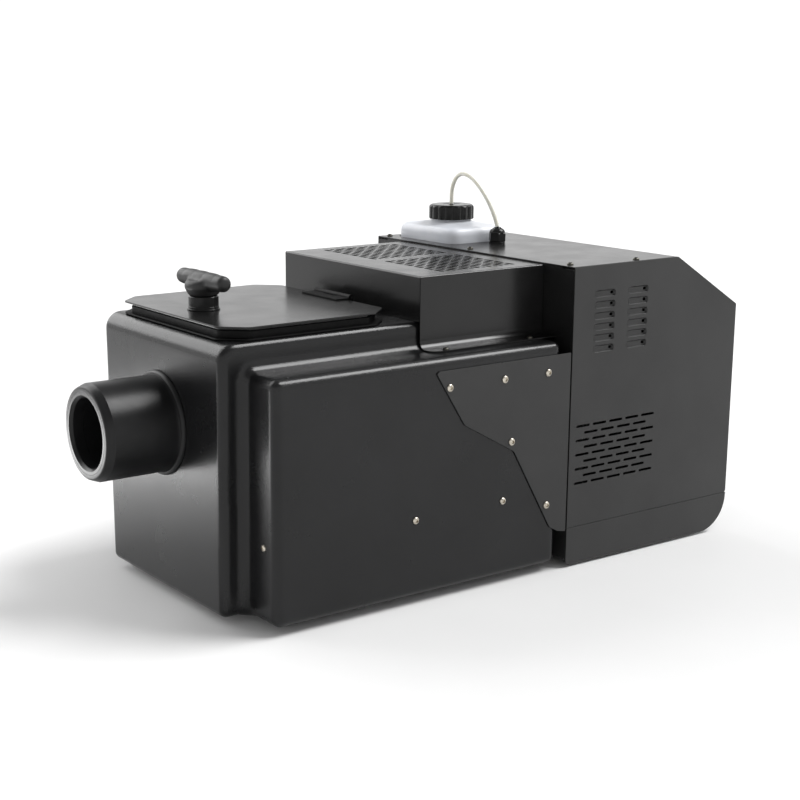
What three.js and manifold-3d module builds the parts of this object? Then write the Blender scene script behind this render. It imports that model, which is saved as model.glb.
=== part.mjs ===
// Low-lying fog machine: a moulded ice tank with an outlet nozzle and a hinged lid, a fan hood on top of it,
// and a sheet-metal housing behind it that holds the fluid bottle, the pump, the heater and the electronics.
// Millimetres, +Z up. Fog leaves towards -Y. "Right" is +X, the side on the right when the nozzle faces you.

import * as THREE from 'three';
import { mergeVertices } from 'three/addons/utils/BufferGeometryUtils.js';
import Module from 'manifold-3d';

const wasm = await Module();
wasm.setup();

// ---- Driving dimensions ----------------------------------------------------------------------------------

const GAP = 0.3; // clearance between pieces that touch
const SHEET = 1.5; // gauge of the folded sheet metal
const HALF_WIDTH = 194; // half the housing's width
const SIDES = { left: -1, right: 1 };

const TANK = {
  front: 0, back: 428, bottom: 9, top: 312, halfTop: 136, halfBottom: 131.5, wall: 5,
  wideFront: 30, ledge: 280, topEdge: 20, sideEdge: 8, ledgeEdge: 10,
};
const NOZZLE = { tip: -92, radius: 55, bore: 38.9, spigot: 48, height: 204, depth: 14 };
const LID = { front: 13, back: 231, half: 130, top: 327.1, thickness: 2, chamferX: 24, chamferY: 26 };
const FRAME = { inset: 6, wall: 7, flangeTop: 314.1, top: 321.5 };
const HINGE = { y: 236, z: 329, halfWidth: 36, knuckle: 3.5, pin: 1.5, split: 13, leaf: 1.5 };
const LATCH = { y: 59, collarRadius: 17.5, collarTop: 343, barHalf: 50, barTop: 371, neck: 20, shaft: 6 };

const HOOD = { half: 140, front: 258, top: 364, flangeHalf: 165, flangeBottom: TANK.ledge + GAP };
const GRILLE = { near: 7, far: 119, front: 307, back: 419, rows: 7, slots: 3, slotWidth: 9, bridge: 6 };
const FAN = { half: 60, depth: 25, x: 63, y: 363, bore: 57, hub: 19, blades: 7 };

const HOUSING = {
  front: 443, back: 723, top: 366, slopeY: 614, slopeZ: 298.5, seam: 50, skirt: 3, floor: 9.5,
};
const BACK_PROUD = 4; // how far the sockets stand behind the housing's back
const SIDE_PLATE = { corner: 245, front: 240.4, top: 266, waist: 200, toe: 57 };
const SCREW = { radius: 4.4, head: 2.5 };
const LOUVRES = {
  columns: [476, 530.5], rows: 6, pitch: 13.2, middle: 298.5, inset: 2, length: 29.5, half: 2,
};
const VENTS = {
  front: 453, top: 174.5, rows: 9, slots: 5, rowPitch: 8.8, slotPitch: 27.1, length: 21.8, half: 1.4,
};
const FLANGE = 20; // width of the housing's inner fixing flanges

const BOTTLE = {
  left: -182, right: -60, front: 464, back: 558, bottom: 140, shoulder: 391, corner: 15, wall: 2, neck: 25,
};
const BOTTLE_X = (BOTTLE.left + BOTTLE.right) / 2;
const BOTTLE_Y = (BOTTLE.front + BOTTLE.back) / 2;
const CAP = { bottom: 392.3, top: 411.3, radius: 30, skirt: 27, ribs: 16 };
const GLAND = { x: -45, y: 527.5, nutRadius: 11.4, nutBottom: 367.6, top: 386, bodyRadius: 9 };
const TUBE_RADIUS = 2.75;

const HEATER = { x: 30, front: 500, back: 670, halfWidth: 55, bottom: 120, top: 190, jacketGap: 9 };
const FOG_PIPE = { radius: 9, z: 155, front: 418 };
const PUMP = { x: 140, z: 42, radius: 21 };
const CARD = { left: -178, right: -62, front: 560, back: 674, height: 12 };
const CONTROL = { buttonPitch: 14, buttonRadius: 4.2, buttonTravel: 1 };
const SOCKET_Z = 105;

const centreY = (NOZZLE.tip + HOUSING.back + BACK_PROUD) / 2;

// ---- Materials -------------------------------------------------------------------------------------------

function finish(color, roughness, metalness = 0) {
  return new THREE.MeshStandardMaterial({ color, roughness, metalness });
}

const moulded = finish(0x1b1c1e, 0.5);
const coated = finish(0x232426, 0.45, 0.2);
const rubber = finish(0x141415, 0.8);
const gloss = finish(0x0f1011, 0.3);
const steel = finish(0xa9a69c, 0.35, 1);
const aluminium = finish(0xb8bbbd, 0.4, 1);
const brass = finish(0xb59a5b, 0.35, 1);
const milky = finish(0xdde0e6, 0.4);
const tubing = finish(0xd8d6c4, 0.4);
const board = finish(0x1f5a36, 0.6);
const screen = finish(0x24384a, 0.15);

// ---- Geometry helpers ------------------------------------------------------------------------------------

const X = new THREE.Vector3(1, 0, 0);
const Y = new THREE.Vector3(0, 1, 0);
const Z = new THREE.Vector3(0, 0, 1);
const ALONG = {
  x: new THREE.Matrix4().makeBasis(Y, Z, X),
  y: new THREE.Matrix4().makeBasis(X, Z, Y.clone().negate()),
  z: new THREE.Matrix4(),
};

/** A closed body from a geometry: shared corners merged, slivers on an axis dropped, faces outwards. */
function solid(geometry) {
  const bare = geometry.clone();
  bare.deleteAttribute('normal');
  bare.deleteAttribute('uv');
  const merged = mergeVertices(bare);
  const corners = merged.attributes.position.array;
  const triangles = [];
  for (let i = 0; i < merged.index.count; i += 3) {
    const [a, b, c] = merged.index.array.slice(i, i + 3);
    if (a !== b && b !== c && c !== a) triangles.push([a, b, c]);
  }
  const inwards = signedVolume(corners, triangles) < 0;
  const triVerts = Uint32Array.from(triangles.flatMap((t) => (inwards ? t.reverse() : t)));
  return new wasm.Manifold(new wasm.Mesh({ numProp: 3, vertProperties: corners, triVerts }));
}

function signedVolume(corners, triangles) {
  const at = (i) => new THREE.Vector3().fromArray(corners, 3 * i);
  return triangles.reduce((sum, [a, b, c]) => sum + at(a).dot(at(b).cross(at(c))), 0);
}

function geometryOf(body) {
  const { vertProperties, triVerts } = body.getMesh();
  const geometry = new THREE.BufferGeometry();
  geometry.setAttribute('position', new THREE.BufferAttribute(vertProperties, 3));
  geometry.setIndex(new THREE.BufferAttribute(triVerts, 1));
  geometry.computeVertexNormals();
  return geometry;
}

const join = (...pieces) => geometryOf(pieces.map(solid).reduce((a, b) => a.add(b)));
const cut = (piece, ...tools) => geometryOf(tools.map(solid).reduce((a, b) => a.subtract(b), solid(piece)));
const common = (...pieces) => geometryOf(pieces.map(solid).reduce((a, b) => a.intersect(b)));

function block([x0, x1], [y0, y1], [z0, z1]) {
  const box = new THREE.BoxGeometry(x1 - x0, y1 - y0, z1 - z0);
  return box.translate((x0 + x1) / 2, (y0 + y1) / 2, (z0 + z1) / 2);
}

/** A cylinder along an axis from low to high, about (u, v) in the other two axes, in X, Y, Z order. */
function rod(axis, radius, [low, high], [u, v], sides = 16) {
  const cylinder = new THREE.CylinderGeometry(radius, radius, high - low, sides);
  const middle = (low + high) / 2;
  if (axis === 'x') return cylinder.rotateZ(Math.PI / 2).translate(middle, u, v);
  if (axis === 'y') return cylinder.translate(u, middle, v);
  return cylinder.rotateX(Math.PI / 2).translate(u, v, middle);
}

/** A turned ring or disc about Z, from its (radius, height) profile. */
function turned(profile, segments = 24) {
  const closed = profile[0][0] < 1e-6 ? profile : [...profile, profile[0]];
  const points = closed.map(([r, h]) => new THREE.Vector2(r, h));
  return new THREE.LatheGeometry(points, segments).rotateX(Math.PI / 2);
}

/** A closed outline from [u, v, corner radius] corners. */
function outline(corners) {
  const shape = new THREE.Shape();
  corners.forEach(([u, v, radius = 0], index) => {
    const corner = new THREE.Vector2(u, v);
    const towards = (step) => {
      const [a, b] = corners.at((index + step) % corners.length);
      return new THREE.Vector2(a, b).sub(corner).normalize();
    };
    const back = towards(-1);
    const ahead = towards(1);
    const half = back.angleTo(ahead) / 2;
    const setback = radius / Math.tan(half);
    const pull = setback - (4 / 3) * Math.tan((Math.PI - 2 * half) / 4) * radius;
    const place = (direction, distance) => corner.clone().addScaledVector(direction, distance).toArray();
    shape[index ? 'lineTo' : 'moveTo'](...place(back, setback));
    if (radius) shape.bezierCurveTo(...place(back, pull), ...place(ahead, pull), ...place(ahead, setback));
  });
  return shape;
}

const rectangle = (u0, u1, v0, v1, r = 0) => outline([[u0, v0, r], [u1, v0, r], [u1, v1, r], [u0, v1, r]]);

/** The outline of a folded sheet that lies to the left of a path. */
function folded(path, thickness = SHEET) {
  const points = path.map(([u, v]) => new THREE.Vector2(u, v));
  const normals = points.slice(1).map((p, i) => {
    const along = p.clone().sub(points[i]).normalize();
    return new THREE.Vector2(-along.y, along.x);
  });
  const offset = points.map((p, i) => {
    const mitre = normals[Math.max(i - 1, 0)].clone().add(normals[Math.min(i, normals.length - 1)]);
    return p.clone().addScaledVector(mitre, (2 * thickness) / mitre.lengthSq());
  });
  return new THREE.Shape([...points, ...offset.reverse()]);
}

/** An outline pushed along an axis. Its (u, v) are (Y, Z) along X, (X, Z) along Y, and (X, Y) along Z. */
function pushed(shape, axis, [low, high], curveSegments = 3) {
  const settings = { depth: high - low, bevelEnabled: false, curveSegments };
  const geometry = new THREE.ExtrudeGeometry(shape, settings);
  return geometry.translate(0, 0, axis === 'y' ? -high : low).applyMatrix4(ALONG[axis]);
}

/** A round hose along a smooth route. */
function hose(route, radius, steps, sides = 8) {
  const path = new THREE.CatmullRomCurve3(route.map((p) => new THREE.Vector3(...p)), false, 'centripetal');
  const section = new THREE.Shape();
  for (let i = 0; i < sides; i += 1) {
    const angle = (2 * Math.PI * i) / sides;
    section[i ? 'lineTo' : 'moveTo'](radius * Math.cos(angle), radius * Math.sin(angle));
  }
  return new THREE.ExtrudeGeometry(section, { steps, extrudePath: path, bevelEnabled: false });
}

/** What place makes at each of a count of positions, a step apart and centred on zero. */
function grid(count, step, place) {
  return Array.from({ length: count }, (_, i) => place((i - (count - 1) / 2) * step));
}

const mirrored = (geometry) => geometryOf(solid(geometry.clone().scale(-1, 1, 1)));

const machine = new THREE.Group();
machine.position.y = -centreY;

function add(parent, name, geometry, material) {
  const mesh = new THREE.Mesh(geometryOf(solid(geometry)), material);
  mesh.name = name;
  parent.add(mesh);
  return mesh;
}

function assembly(x = 0, y = 0, z = 0) {
  const group = new THREE.Group();
  group.position.set(x, y, z);
  machine.add(group);
  return group;
}

// ---- Ice tank --------------------------------------------------------------------------------------------

/** The tank's form, drawn in by a margin: a tapered upper box that runs through a wide lower body. */
function tankForm(margin) {
  const { front, back, bottom, top, halfTop, halfBottom, wideFront, ledge } = TANK;
  const radius = (r) => Math.max(r - margin, 2);
  const low = bottom + margin;
  const high = top - margin;
  const end = back - margin;
  const corner = radius(9);
  const upperSection = outline([
    [-halfBottom + margin, low, corner], [halfBottom - margin, low, corner],
    [halfTop - margin, high, radius(TANK.sideEdge)], [-halfTop + margin, high, radius(TANK.sideEdge)],
  ]);
  const upperSide = outline([
    [front + margin, low, corner], [end, low, corner],
    [end, high, 0], [front + margin, high, radius(TANK.topEdge)],
  ]);
  const upper = common(
    pushed(upperSection, 'y', [front, back]),
    pushed(rectangle(-halfTop + margin, halfTop - margin, front + margin, end, corner), 'z', [bottom, top]),
    pushed(upperSide, 'x', [-halfTop, halfTop]),
  );
  const half = HALF_WIDTH - SHEET - GAP - margin;
  const shelf = ledge - margin;
  const edge = radius(TANK.ledgeEdge);
  const wide = common(
    pushed(rectangle(-half, half, low, shelf, edge), 'y', [wideFront, back]),
    pushed(rectangle(-half, half, wideFront + margin, end, edge), 'z', [bottom, top]),
    pushed(rectangle(wideFront + margin, end, low, shelf, edge), 'x', [-HALF_WIDTH, HALF_WIDTH]),
  );
  return join(upper, wide);
}

const LID_OPENING = { half: 105, front: 40, back: 204 };
const DRAIN = { y: 330, hole: 9.5, head: 16, shank: 9 };

function buildTank() {
  const tank = assembly();
  const { half, front, back } = LID_OPENING;
  const mouth = block([-half, half], [front, back], [290, 330]);
  const nozzleHole = rod('y', NOZZLE.spigot + GAP, [-10, 20], [0, NOZZLE.height], 32);
  const pipeHole = rod('y', FOG_PIPE.radius + GAP, [410, 440], [HEATER.x, FOG_PIPE.z]);
  const fanHole = (side) => rod('z', FAN.bore - 6, [290, 330], [side * FAN.x, FAN.y], 24);
  const fanHoles = Object.values(SIDES).map(fanHole);
  const drainHole = rod('z', DRAIN.hole, [0, 20], [0, DRAIN.y]);
  const holes = [mouth, nozzleHole, pipeHole, ...fanHoles, drainHole];
  add(tank, 'ice_tank', cut(tankForm(0), tankForm(TANK.wall), ...holes), moulded);
  buildNozzle(tank);
  buildGrate(tank);
  buildDrainPlug(tank);
}

function buildNozzle(tank) {
  const { tip, radius, bore, spigot, height, depth } = NOZZLE;
  const ring = turned([
    [bore, -depth], [spigot, -depth], [spigot, GAP], [radius, GAP], [radius, -tip - 9],
    [radius - 3, -tip - 2], [radius - 8, -tip], [bore + 3, -tip], [bore, -tip - 4],
  ], 40);
  const nozzle = add(tank, 'outlet_nozzle', ring, moulded);
  nozzle.rotation.x = Math.PI / 2;
  nozzle.position.set(0, 0, height);
}

function buildGrate(tank) {
  const bed = pushed(rectangle(-98, 98, 46, 198, 8), 'z', [44, 47]);
  const slots = grid(9, 20, (x) => block([x - 4, x + 4], [58, 186], [40, 50]));
  const leg = (x, y) => block([x - 4, x + 4], [y - 4, y + 4], [TANK.bottom + TANK.wall + 0.4, 45]);
  const legs = [leg(-88, 56), leg(-88, 188), leg(88, 56), leg(88, 188)];
  add(tank, 'ice_grate', cut(join(bed, ...legs), ...slots), steel);
}

/** The melt-water plug: a coin-slotted head under the floor and a shank up through it. */
function buildDrainPlug(tank) {
  const head = rod('z', DRAIN.head, [3, TANK.bottom - GAP], [0, DRAIN.y], 24);
  const shank = rod('z', DRAIN.shank, [5, 18], [0, DRAIN.y]);
  const coinSlot = block([-11, 11], [DRAIN.y - 1.5, DRAIN.y + 1.5], [2, 5.5]);
  add(tank, 'drain_plug', cut(join(head, shank), coinSlot), gloss);
}

// ---- Lid, hinge and latch --------------------------------------------------------------------------------

function lidOutline(inset, radius) {
  const { front, back, half, chamferX, chamferY } = LID;
  const [u, v0, v1] = [half - inset, front + inset, back - inset];
  return outline([
    [-u, v0 + chamferY, radius], [-u + chamferX, v0, radius],
    [u - chamferX, v0, radius], [u, v0 + chamferY, radius],
    [u, v1 - chamferY, radius], [u - chamferX, v1, radius],
    [-u + chamferX, v1, radius], [-u, v1 - chamferY, radius],
  ]);
}

function lidRing(outer, inner, heights, radius = 10) {
  const hole = pushed(lidOutline(inner, radius), 'z', [250, 350]);
  return cut(pushed(lidOutline(outer, radius), 'z', heights), hole);
}

function buildLid() {
  const group = assembly();
  const { inset, wall, flangeTop, top } = FRAME;
  const seat = TANK.top + GAP;
  const flange = lidRing(0, inset + wall, [seat, flangeTop]);
  const tab = block([-HINGE.halfWidth, HINGE.halfWidth], [LID.back - 2, HINGE.y + 5], [seat, flangeTop]);
  const collar = lidRing(inset, inset + wall, [seat, top]);
  add(group, 'lid_frame', join(flange, tab, collar), coated);
  const underside = LID.top - LID.thickness;
  add(group, 'lid_gasket', lidRing(inset + 1, inset + wall - 1, [top + GAP, underside - GAP]), rubber);
  const shaftHole = rod('z', LATCH.shaft + GAP, [300, 350], [0, LATCH.y]);
  add(group, 'ice_lid', cut(pushed(lidOutline(0, 12), 'z', [underside, LID.top]), shaftHole), coated);
  buildHinge(group, flangeTop);
  buildLatch(group);
}

/** A butt hinge: outer knuckles on the lid's leaf, the middle one on the fixed leaf, and a pin through. */
function buildHinge(group, flangeTop) {
  const { y, z, halfWidth, knuckle, pin, split, leaf } = HINGE;
  const bore = rod('x', pin + GAP, [-halfWidth - 5, halfWidth + 5], [y, z], 16);
  const outerSpans = [[-halfWidth, -split], [split, halfWidth]];
  const outerKnuckles = outerSpans.map((span) => rod('x', knuckle, span, [y, z], 16));
  const lidLeaf = block([-halfWidth, halfWidth], [LID.back - 16, y], [LID.top + GAP, LID.top + GAP + leaf]);
  const notch = block([-split, split], [LID.back - 1, y + 5], [320, 335]);
  add(group, 'hinge_leaf_lid', cut(join(lidLeaf, ...outerKnuckles), notch, bore), coated);
  const middleKnuckle = rod('x', knuckle, [-split + GAP, split - GAP], [y, z], 16);
  const foot = flangeTop + GAP;
  const upright = block([-split + GAP, split - GAP], [y + knuckle - leaf, y + knuckle], [foot, z]);
  const base = block([-halfWidth, halfWidth], [LID.back - 4, y + knuckle], [foot, foot + leaf]);
  add(group, 'hinge_leaf_fixed', cut(join(middleKnuckle, upright, base), bore), coated);
  add(group, 'hinge_pin', rod('x', pin, [-halfWidth - 1, halfWidth + 1], [y, z], 16), steel);
}

/** The T-handle turns a shaft through a collar on the lid; its tongue swings below the lid's frame. */
function buildLatch(group) {
  const { y, collarRadius, collarTop, barHalf, barTop, neck: flare, shaft } = LATCH;
  const base = LID.top + GAP;
  const collar = turned([
    [shaft + 2, base], [collarRadius + 1.5, base], [collarRadius + 1.5, base + 1.5],
    [collarRadius, base + 2], [collarRadius, collarTop], [shaft + 2, collarTop],
  ], 24);
  add(group, 'latch_collar', collar, gloss).position.set(0, y, 0);
  const barRadius = 10;
  const barZ = barTop - barRadius;
  const bar = new THREE.CapsuleGeometry(barRadius, 2 * (barHalf - barRadius), 4, 10)
    .rotateZ(Math.PI / 2)
    .translate(0, 0, barZ);
  const foot = collarTop + GAP;
  const neckProfile = [[0, foot], [flare - 5, foot], [flare - 1, foot + 5], [flare, barZ - 2], [0, barZ + 2]];
  const neck = turned(neckProfile, 20);
  const stem = rod('z', shaft, [300, barZ], [0, 0]);
  add(group, 't_handle', join(bar, neck, stem), rubber).position.set(0, y, 0);
  const tongue = pushed(outline([[-12, -10, 9], [44, -10, 4], [44, 10, 4], [-12, 10, 9]]), 'z', [300, 303.5]);
  const cam = cut(join(tongue, rod('z', 10, [300, 312], [0, 0])), rod('z', shaft + GAP, [290, 320], [0, 0]));
  add(group, 'latch_cam', cam, steel).position.set(0, y, 0);
}

// ---- Fan hood --------------------------------------------------------------------------------------------

/** Staggered slots across one grille area, on the given side. */
function grilleSlots(side) {
  const { near, far, front, back, rows, slots, slotWidth, bridge } = GRILLE;
  const rowPitch = (back - front) / rows;
  const slotPitch = (far - near) / slots;
  const cuts = [];
  for (let row = 0; row < rows; row += 1) {
    const y = front + (row + 0.5) * rowPitch;
    const shift = row % 2 ? slotPitch / 2 : 0;
    for (let slot = row % 2 ? -1 : 0; slot < slots; slot += 1) {
      const start = Math.max(near + slot * slotPitch + shift + bridge / 2, near);
      const end = Math.min(near + (slot + 1) * slotPitch + shift - bridge / 2, far);
      const span = [side * start, side * end].sort((a, b) => a - b);
      cuts.push(block(span, [y - slotWidth / 2, y + slotWidth / 2], [355, 370]));
    }
  }
  return cuts;
}

function buildHood() {
  const group = assembly();
  const { half, front, top, flangeHalf, flangeBottom } = HOOD;
  const back = HOUSING.front - GAP;
  const profile = folded([
    [-flangeHalf, flangeBottom], [-half + SHEET, flangeBottom], [-half + SHEET, top - SHEET],
    [half - SHEET, top - SHEET], [half - SHEET, flangeBottom], [flangeHalf, flangeBottom],
  ]);
  const frontPanel = block([-half + 1, half - 1], [front, front + SHEET], [TANK.top + GAP, top - 1]);
  const slots = Object.values(SIDES).flatMap(grilleSlots);
  add(group, 'fan_hood', cut(join(pushed(profile, 'y', [front, back]), frontPanel), ...slots), coated);
  for (const [name, side] of Object.entries(SIDES)) buildFan(name, side);
}

/** An axial fan that hangs under the grille: a square frame with a hub on struts, and a bladed rotor. */
function buildFan(name, side) {
  const { half, depth, bore, hub, blades } = FAN;
  const top = HOOD.top - SHEET - GAP;
  const group = assembly(side * FAN.x, FAN.y, top - depth);
  const square = pushed(rectangle(-half, half, -half, half, 4), 'z', [0, depth], 2);
  const shell = cut(square, rod('z', bore, [-5, 40], [0, 0], 28));
  const strut = (turn) => block([-bore - 1, bore + 1], [-3, 3], [0, 3]).rotateZ(turn);
  const struts = [Math.PI / 4, (3 * Math.PI) / 4].map(strut);
  const motor = rod('z', hub, [0, 4], [0, 0], 24);
  add(group, `fan_frame_${name}`, join(shell, ...struts, motor), moulded);
  const tips = bore - 1.5;
  const blade = () => block([hub - 4, tips], [-1, 1], [-9, 9]).rotateX(0.85).translate(0, 0, depth / 2 + 1);
  const ring = Array.from({ length: blades }, (_, i) => blade().rotateZ((2 * Math.PI * i) / blades));
  add(group, `fan_rotor_${name}`, join(rod('z', hub, [4 + GAP, depth - 1], [0, 0], 24), ...ring), moulded);
}

// ---- Side plates -----------------------------------------------------------------------------------------

/** The plate that ties the tank to the housing, with its five button-head screws. */
function sidePlate() {
  const { corner, front, top, waist, toe } = SIDE_PLATE;
  const back = HOUSING.front - 2;
  const shape = outline([
    [front, top - 2.5, 2], [corner, top, 2], [back, top, 1], [back, 47, 1], [428, 49.6, 3], [415, toe, 5],
    [356, 159, 12], [282, waist, 12],
  ]);
  const inner = HALF_WIDTH - SHEET;
  const plate = pushed(shape, 'x', [inner, HALF_WIDTH]);
  const places = [[259.7, 246], [339.7, 246], [406, 246], [352, 171], [408.6, 85.4]];
  const reach = [inner + 0.5, HALF_WIDTH + SCREW.head];
  return join(plate, ...places.map((place) => rod('x', SCREW.radius, reach, place, 10)));
}

function buildSidePlates() {
  const group = assembly();
  add(group, 'side_plate_right', sidePlate(), coated);
  add(group, 'side_plate_left', mirrored(sidePlate()), coated);
}

// ---- Rear housing ----------------------------------------------------------------------------------------

const slopeAngle = Math.atan2(HOUSING.top - HOUSING.slopeZ, HOUSING.back - HOUSING.slopeY);

/** A path that runs parallel to the roof, a distance below it. */
function underRoof(distance, start, end) {
  const { top, slopeY } = HOUSING;
  const kink = distance * Math.tan(slopeAngle / 2);
  const drop = distance / Math.cos(slopeAngle) + (end - slopeY) * Math.tan(slopeAngle);
  return [[start, top - distance], [slopeY - kink, top - distance], [end, top - drop]];
}

/** A slot through the right-hand cover, from its front end and its middle height. */
function coverSlot(y, z, length, half) {
  return block([HALF_WIDTH - 5, HALF_WIDTH + 5], [y, y + length], [z - half, z + half]);
}

/** Two columns of louvre slots, and the staggered rows of vent slots below them. */
function ventCuts() {
  const { columns, rows, pitch, middle, inset, length, half } = LOUVRES;
  const louvres = columns.flatMap((y) =>
    grid(rows, pitch, (z) => coverSlot(y + inset, middle + z, length, half)));
  const slots = [];
  for (let row = 0; row < VENTS.rows; row += 1) {
    const odd = row % 2;
    const z = VENTS.top - row * VENTS.rowPitch;
    for (let i = 0; i < VENTS.slots - odd; i += 1) {
      const y = VENTS.front + VENTS.slotPitch * (i + odd / 2);
      slots.push(coverSlot(y, z, VENTS.length, VENTS.half));
    }
  }
  return [...louvres, ...slots];
}

function sideCover() {
  const { front, back, top, slopeY, slopeZ, seam } = HOUSING;
  const inner = HALF_WIDTH - SHEET;
  const wall = outline([
    [front, seam + GAP], [back, seam + GAP, 2], [back, slopeZ], [slopeY, top], [front, top],
  ]);
  const shelf = folded(underRoof(SHEET * 2 + GAP, front + SHEET + GAP, back - 3));
  const flange = pushed(shelf, 'x', [inner - FLANGE, inner + 0.5]);
  return cut(join(pushed(wall, 'x', [inner, HALF_WIDTH]), flange), ...ventCuts());
}

/** The pan under the housing: a floor that turns up at the back, between two skirts with a rounded heel. */
function basePan() {
  const { front, back, seam, skirt, floor } = HOUSING;
  const inner = HALF_WIDTH - SHEET;
  const side = outline([[front, seam, 0], [front, skirt, 6], [back, skirt, 45], [back, seam, 0]]);
  const skirts = [[inner, HALF_WIDTH], [-HALF_WIDTH, -inner]].map((span) => pushed(side, 'x', span, 8));
  const path = [[back, seam - 2], [back - 44, floor], [front, floor], [front, floor + 38]];
  return join(pushed(folded(path, -SHEET), 'x', [-inner - 0.5, inner + 0.5]), ...skirts);
}

function buildHousing() {
  const group = assembly();
  const { front, back, top, slopeZ, seam, floor } = HOUSING;
  const inner = HALF_WIDTH - SHEET - GAP;
  const roof = pushed(folded(underRoof(SHEET, front, back - 0.5)), 'x', [-inner, inner]);
  const bottlePlan = rectangle(
    BOTTLE.left - 1, BOTTLE.right + 1, BOTTLE.front - 1, BOTTLE.back + 1, BOTTLE.corner,
  );
  const bottleHole = pushed(bottlePlan, 'z', [350, 370]);
  const glandHole = rod('z', 8, [350, 370], [GLAND.x, GLAND.y]);
  add(group, 'top_cover', cut(roof, bottleHole, glandHole), coated);
  add(group, 'side_cover_right', sideCover(), coated);
  const bottleWay = block([BOTTLE.left - 4, -150], [BOTTLE.front - 4, BOTTLE.back + 4], [340, top - 1]);
  add(group, 'side_cover_left', cut(mirrored(sideCover()), bottleWay), coated);
  add(group, 'base_pan', basePan(), coated);

  const ceiling = top - SHEET - GAP;
  const turnedIn = HALF_WIDTH - SHEET - FLANGE - GAP;
  const wall = block([-inner, inner], [front + GAP, front + SHEET], [seam, ceiling - SHEET - GAP]);
  const lip = block([-turnedIn, turnedIn], [front + GAP, front + FLANGE - 3], [ceiling - SHEET, ceiling]);
  const stiffener = block([-turnedIn, turnedIn], [front + GAP, front + SHEET], [seam, ceiling]);
  const pipeHole = rod('y', FOG_PIPE.radius + 2, [430, 460], [HEATER.x, FOG_PIPE.z]);
  add(group, 'front_bulkhead', cut(join(wall, lip, stiffener), pipeHole), coated);

  const backWall = block([-inner, inner], [back - SHEET, back - GAP], [seam + GAP, slopeZ - 4]);
  const foot = block([-inner, inner], [back - FLANGE, back - GAP], [seam + GAP, seam + GAP + SHEET]);
  add(group, 'rear_panel', cut(join(backWall, foot), ...rearCutouts()), coated);
  buildFeet(floor);
}

function buildFeet(floor) {
  const places = [
    [-110, 60, 'front_left'], [110, 60, 'front_right'], [-150, 560, 'rear_left'], [150, 560, 'rear_right'],
  ];
  for (const [x, y, name] of places) {
    const top = (y < TANK.back ? TANK.bottom : floor) - GAP;
    const foot = turned([[0, 0], [13, 0], [15, 2], [15, top], [0, top]], 20);
    add(machine, `foot_${name}`, foot, rubber).position.set(x, y, 0);
  }
}

// ---- Fluid bottle, cap and tubes -------------------------------------------------------------------------

function bottleForm(margin) {
  const { left, right, front, back, bottom, shoulder, corner } = BOTTLE;
  const plan = rectangle(left + margin, right - margin, front + margin, back - margin, corner - margin);
  const [base, roof, shoulderRadius] = [bottom + margin, shoulder - margin, 12 - margin];
  const section = (low, high) => rectangle(low + margin, high - margin, base, roof, shoulderRadius);
  return common(
    pushed(plan, 'z', [base, roof]),
    pushed(section(left, right), 'y', [front, back]),
    pushed(section(front, back), 'x', [left, right]),
  );
}

const SUCTION_ROUTE = [
  [BOTTLE_X, BOTTLE_Y, CAP.top + GAP], [-121, 511, 421], [-120.6, 511.1, 429.5], [-117.6, 511.7, 439.6],
  [-112.4, 512.9, 447.8], [-104.4, 514.6, 452], [-94.1, 516.8, 450.2], [-81, 519.7, 442],
  [-68.8, 522.3, 429.4], [-58.5, 524.6, 415.2], [-50.8, 526.2, 401], [-46.8, 527.1, 391.5],
  [GLAND.x, GLAND.y, GLAND.top + GAP],
];

function buildFluid() {
  const group = assembly();
  const { shoulder, wall, neck } = BOTTLE;
  const spout = (radius, low, high) => rod('z', radius, [low, high], [BOTTLE_X, BOTTLE_Y], 24);
  const outer = join(bottleForm(0), spout(neck, shoulder - 4, CAP.top - 4));
  const bottle = cut(outer, bottleForm(wall), spout(neck - 3, shoulder - 10, CAP.top));
  add(group, 'fluid_bottle', bottle, milky);
  const rib = (i) => block([-2, 2], [CAP.radius - 4, CAP.radius], [CAP.bottom + 0.5, CAP.top - 2])
    .rotateZ((2 * Math.PI * i) / CAP.ribs);
  const { bottom, top, radius, skirt } = CAP;
  const shell = turned([
    [TUBE_RADIUS + GAP, top - 3], [skirt - 1, top - 3], [skirt - 1, bottom], [radius - 1.2, bottom],
    [radius - 1.2, top - 2], [radius - 3, top], [TUBE_RADIUS + GAP, top],
  ]);
  const cap = join(shell, ...Array.from({ length: CAP.ribs }, (_, i) => rib(i)));
  add(group, 'bottle_cap', cap, gloss).position.set(BOTTLE_X, BOTTLE_Y, 0);

  add(group, 'suction_tube', hose(SUCTION_ROUTE, TUBE_RADIUS, 28), tubing);
  const dip = rod('z', TUBE_RADIUS, [BOTTLE.bottom + 10, CAP.top - 1], [BOTTLE_X, BOTTLE_Y], 8);
  add(group, 'dip_tube', dip, tubing);
  buildGland(group);
  buildTray(group);
}

function buildGland(group) {
  const { x, y, nutRadius, nutBottom, top, bodyRadius } = GLAND;
  const threadRadius = 7.6;
  const bore = rod('z', TUBE_RADIUS + GAP, [340, 400], [0, 0], 12);
  const thread = rod('z', threadRadius, [355, nutBottom + 6], [0, 0]);
  const washer = rod('z', bodyRadius, [HOUSING.top + GAP, nutBottom - GAP], [0, 0]);
  const locknut = rod('z', 11, [357, 361.5], [0, 0], 6);
  add(group, 'gland_body', cut(join(thread, washer, locknut), bore), gloss).position.set(x, y, 0);
  const hexTop = top - 7;
  const hex = rod('z', nutRadius, [nutBottom, hexTop], [0, 0], 6);
  const dome = turned([
    [0, hexTop - 1], [10, hexTop - 1], [9.6, hexTop + 2], [7.5, top - 2], [4.5, top], [0, top],
  ], 16);
  const socket = rod('z', threadRadius + GAP, [nutBottom - 1, nutBottom + 6 + GAP], [0, 0]);
  add(group, 'gland_nut', cut(join(hex, dome), socket, bore), gloss).position.set(x, y, 0);
}

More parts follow.
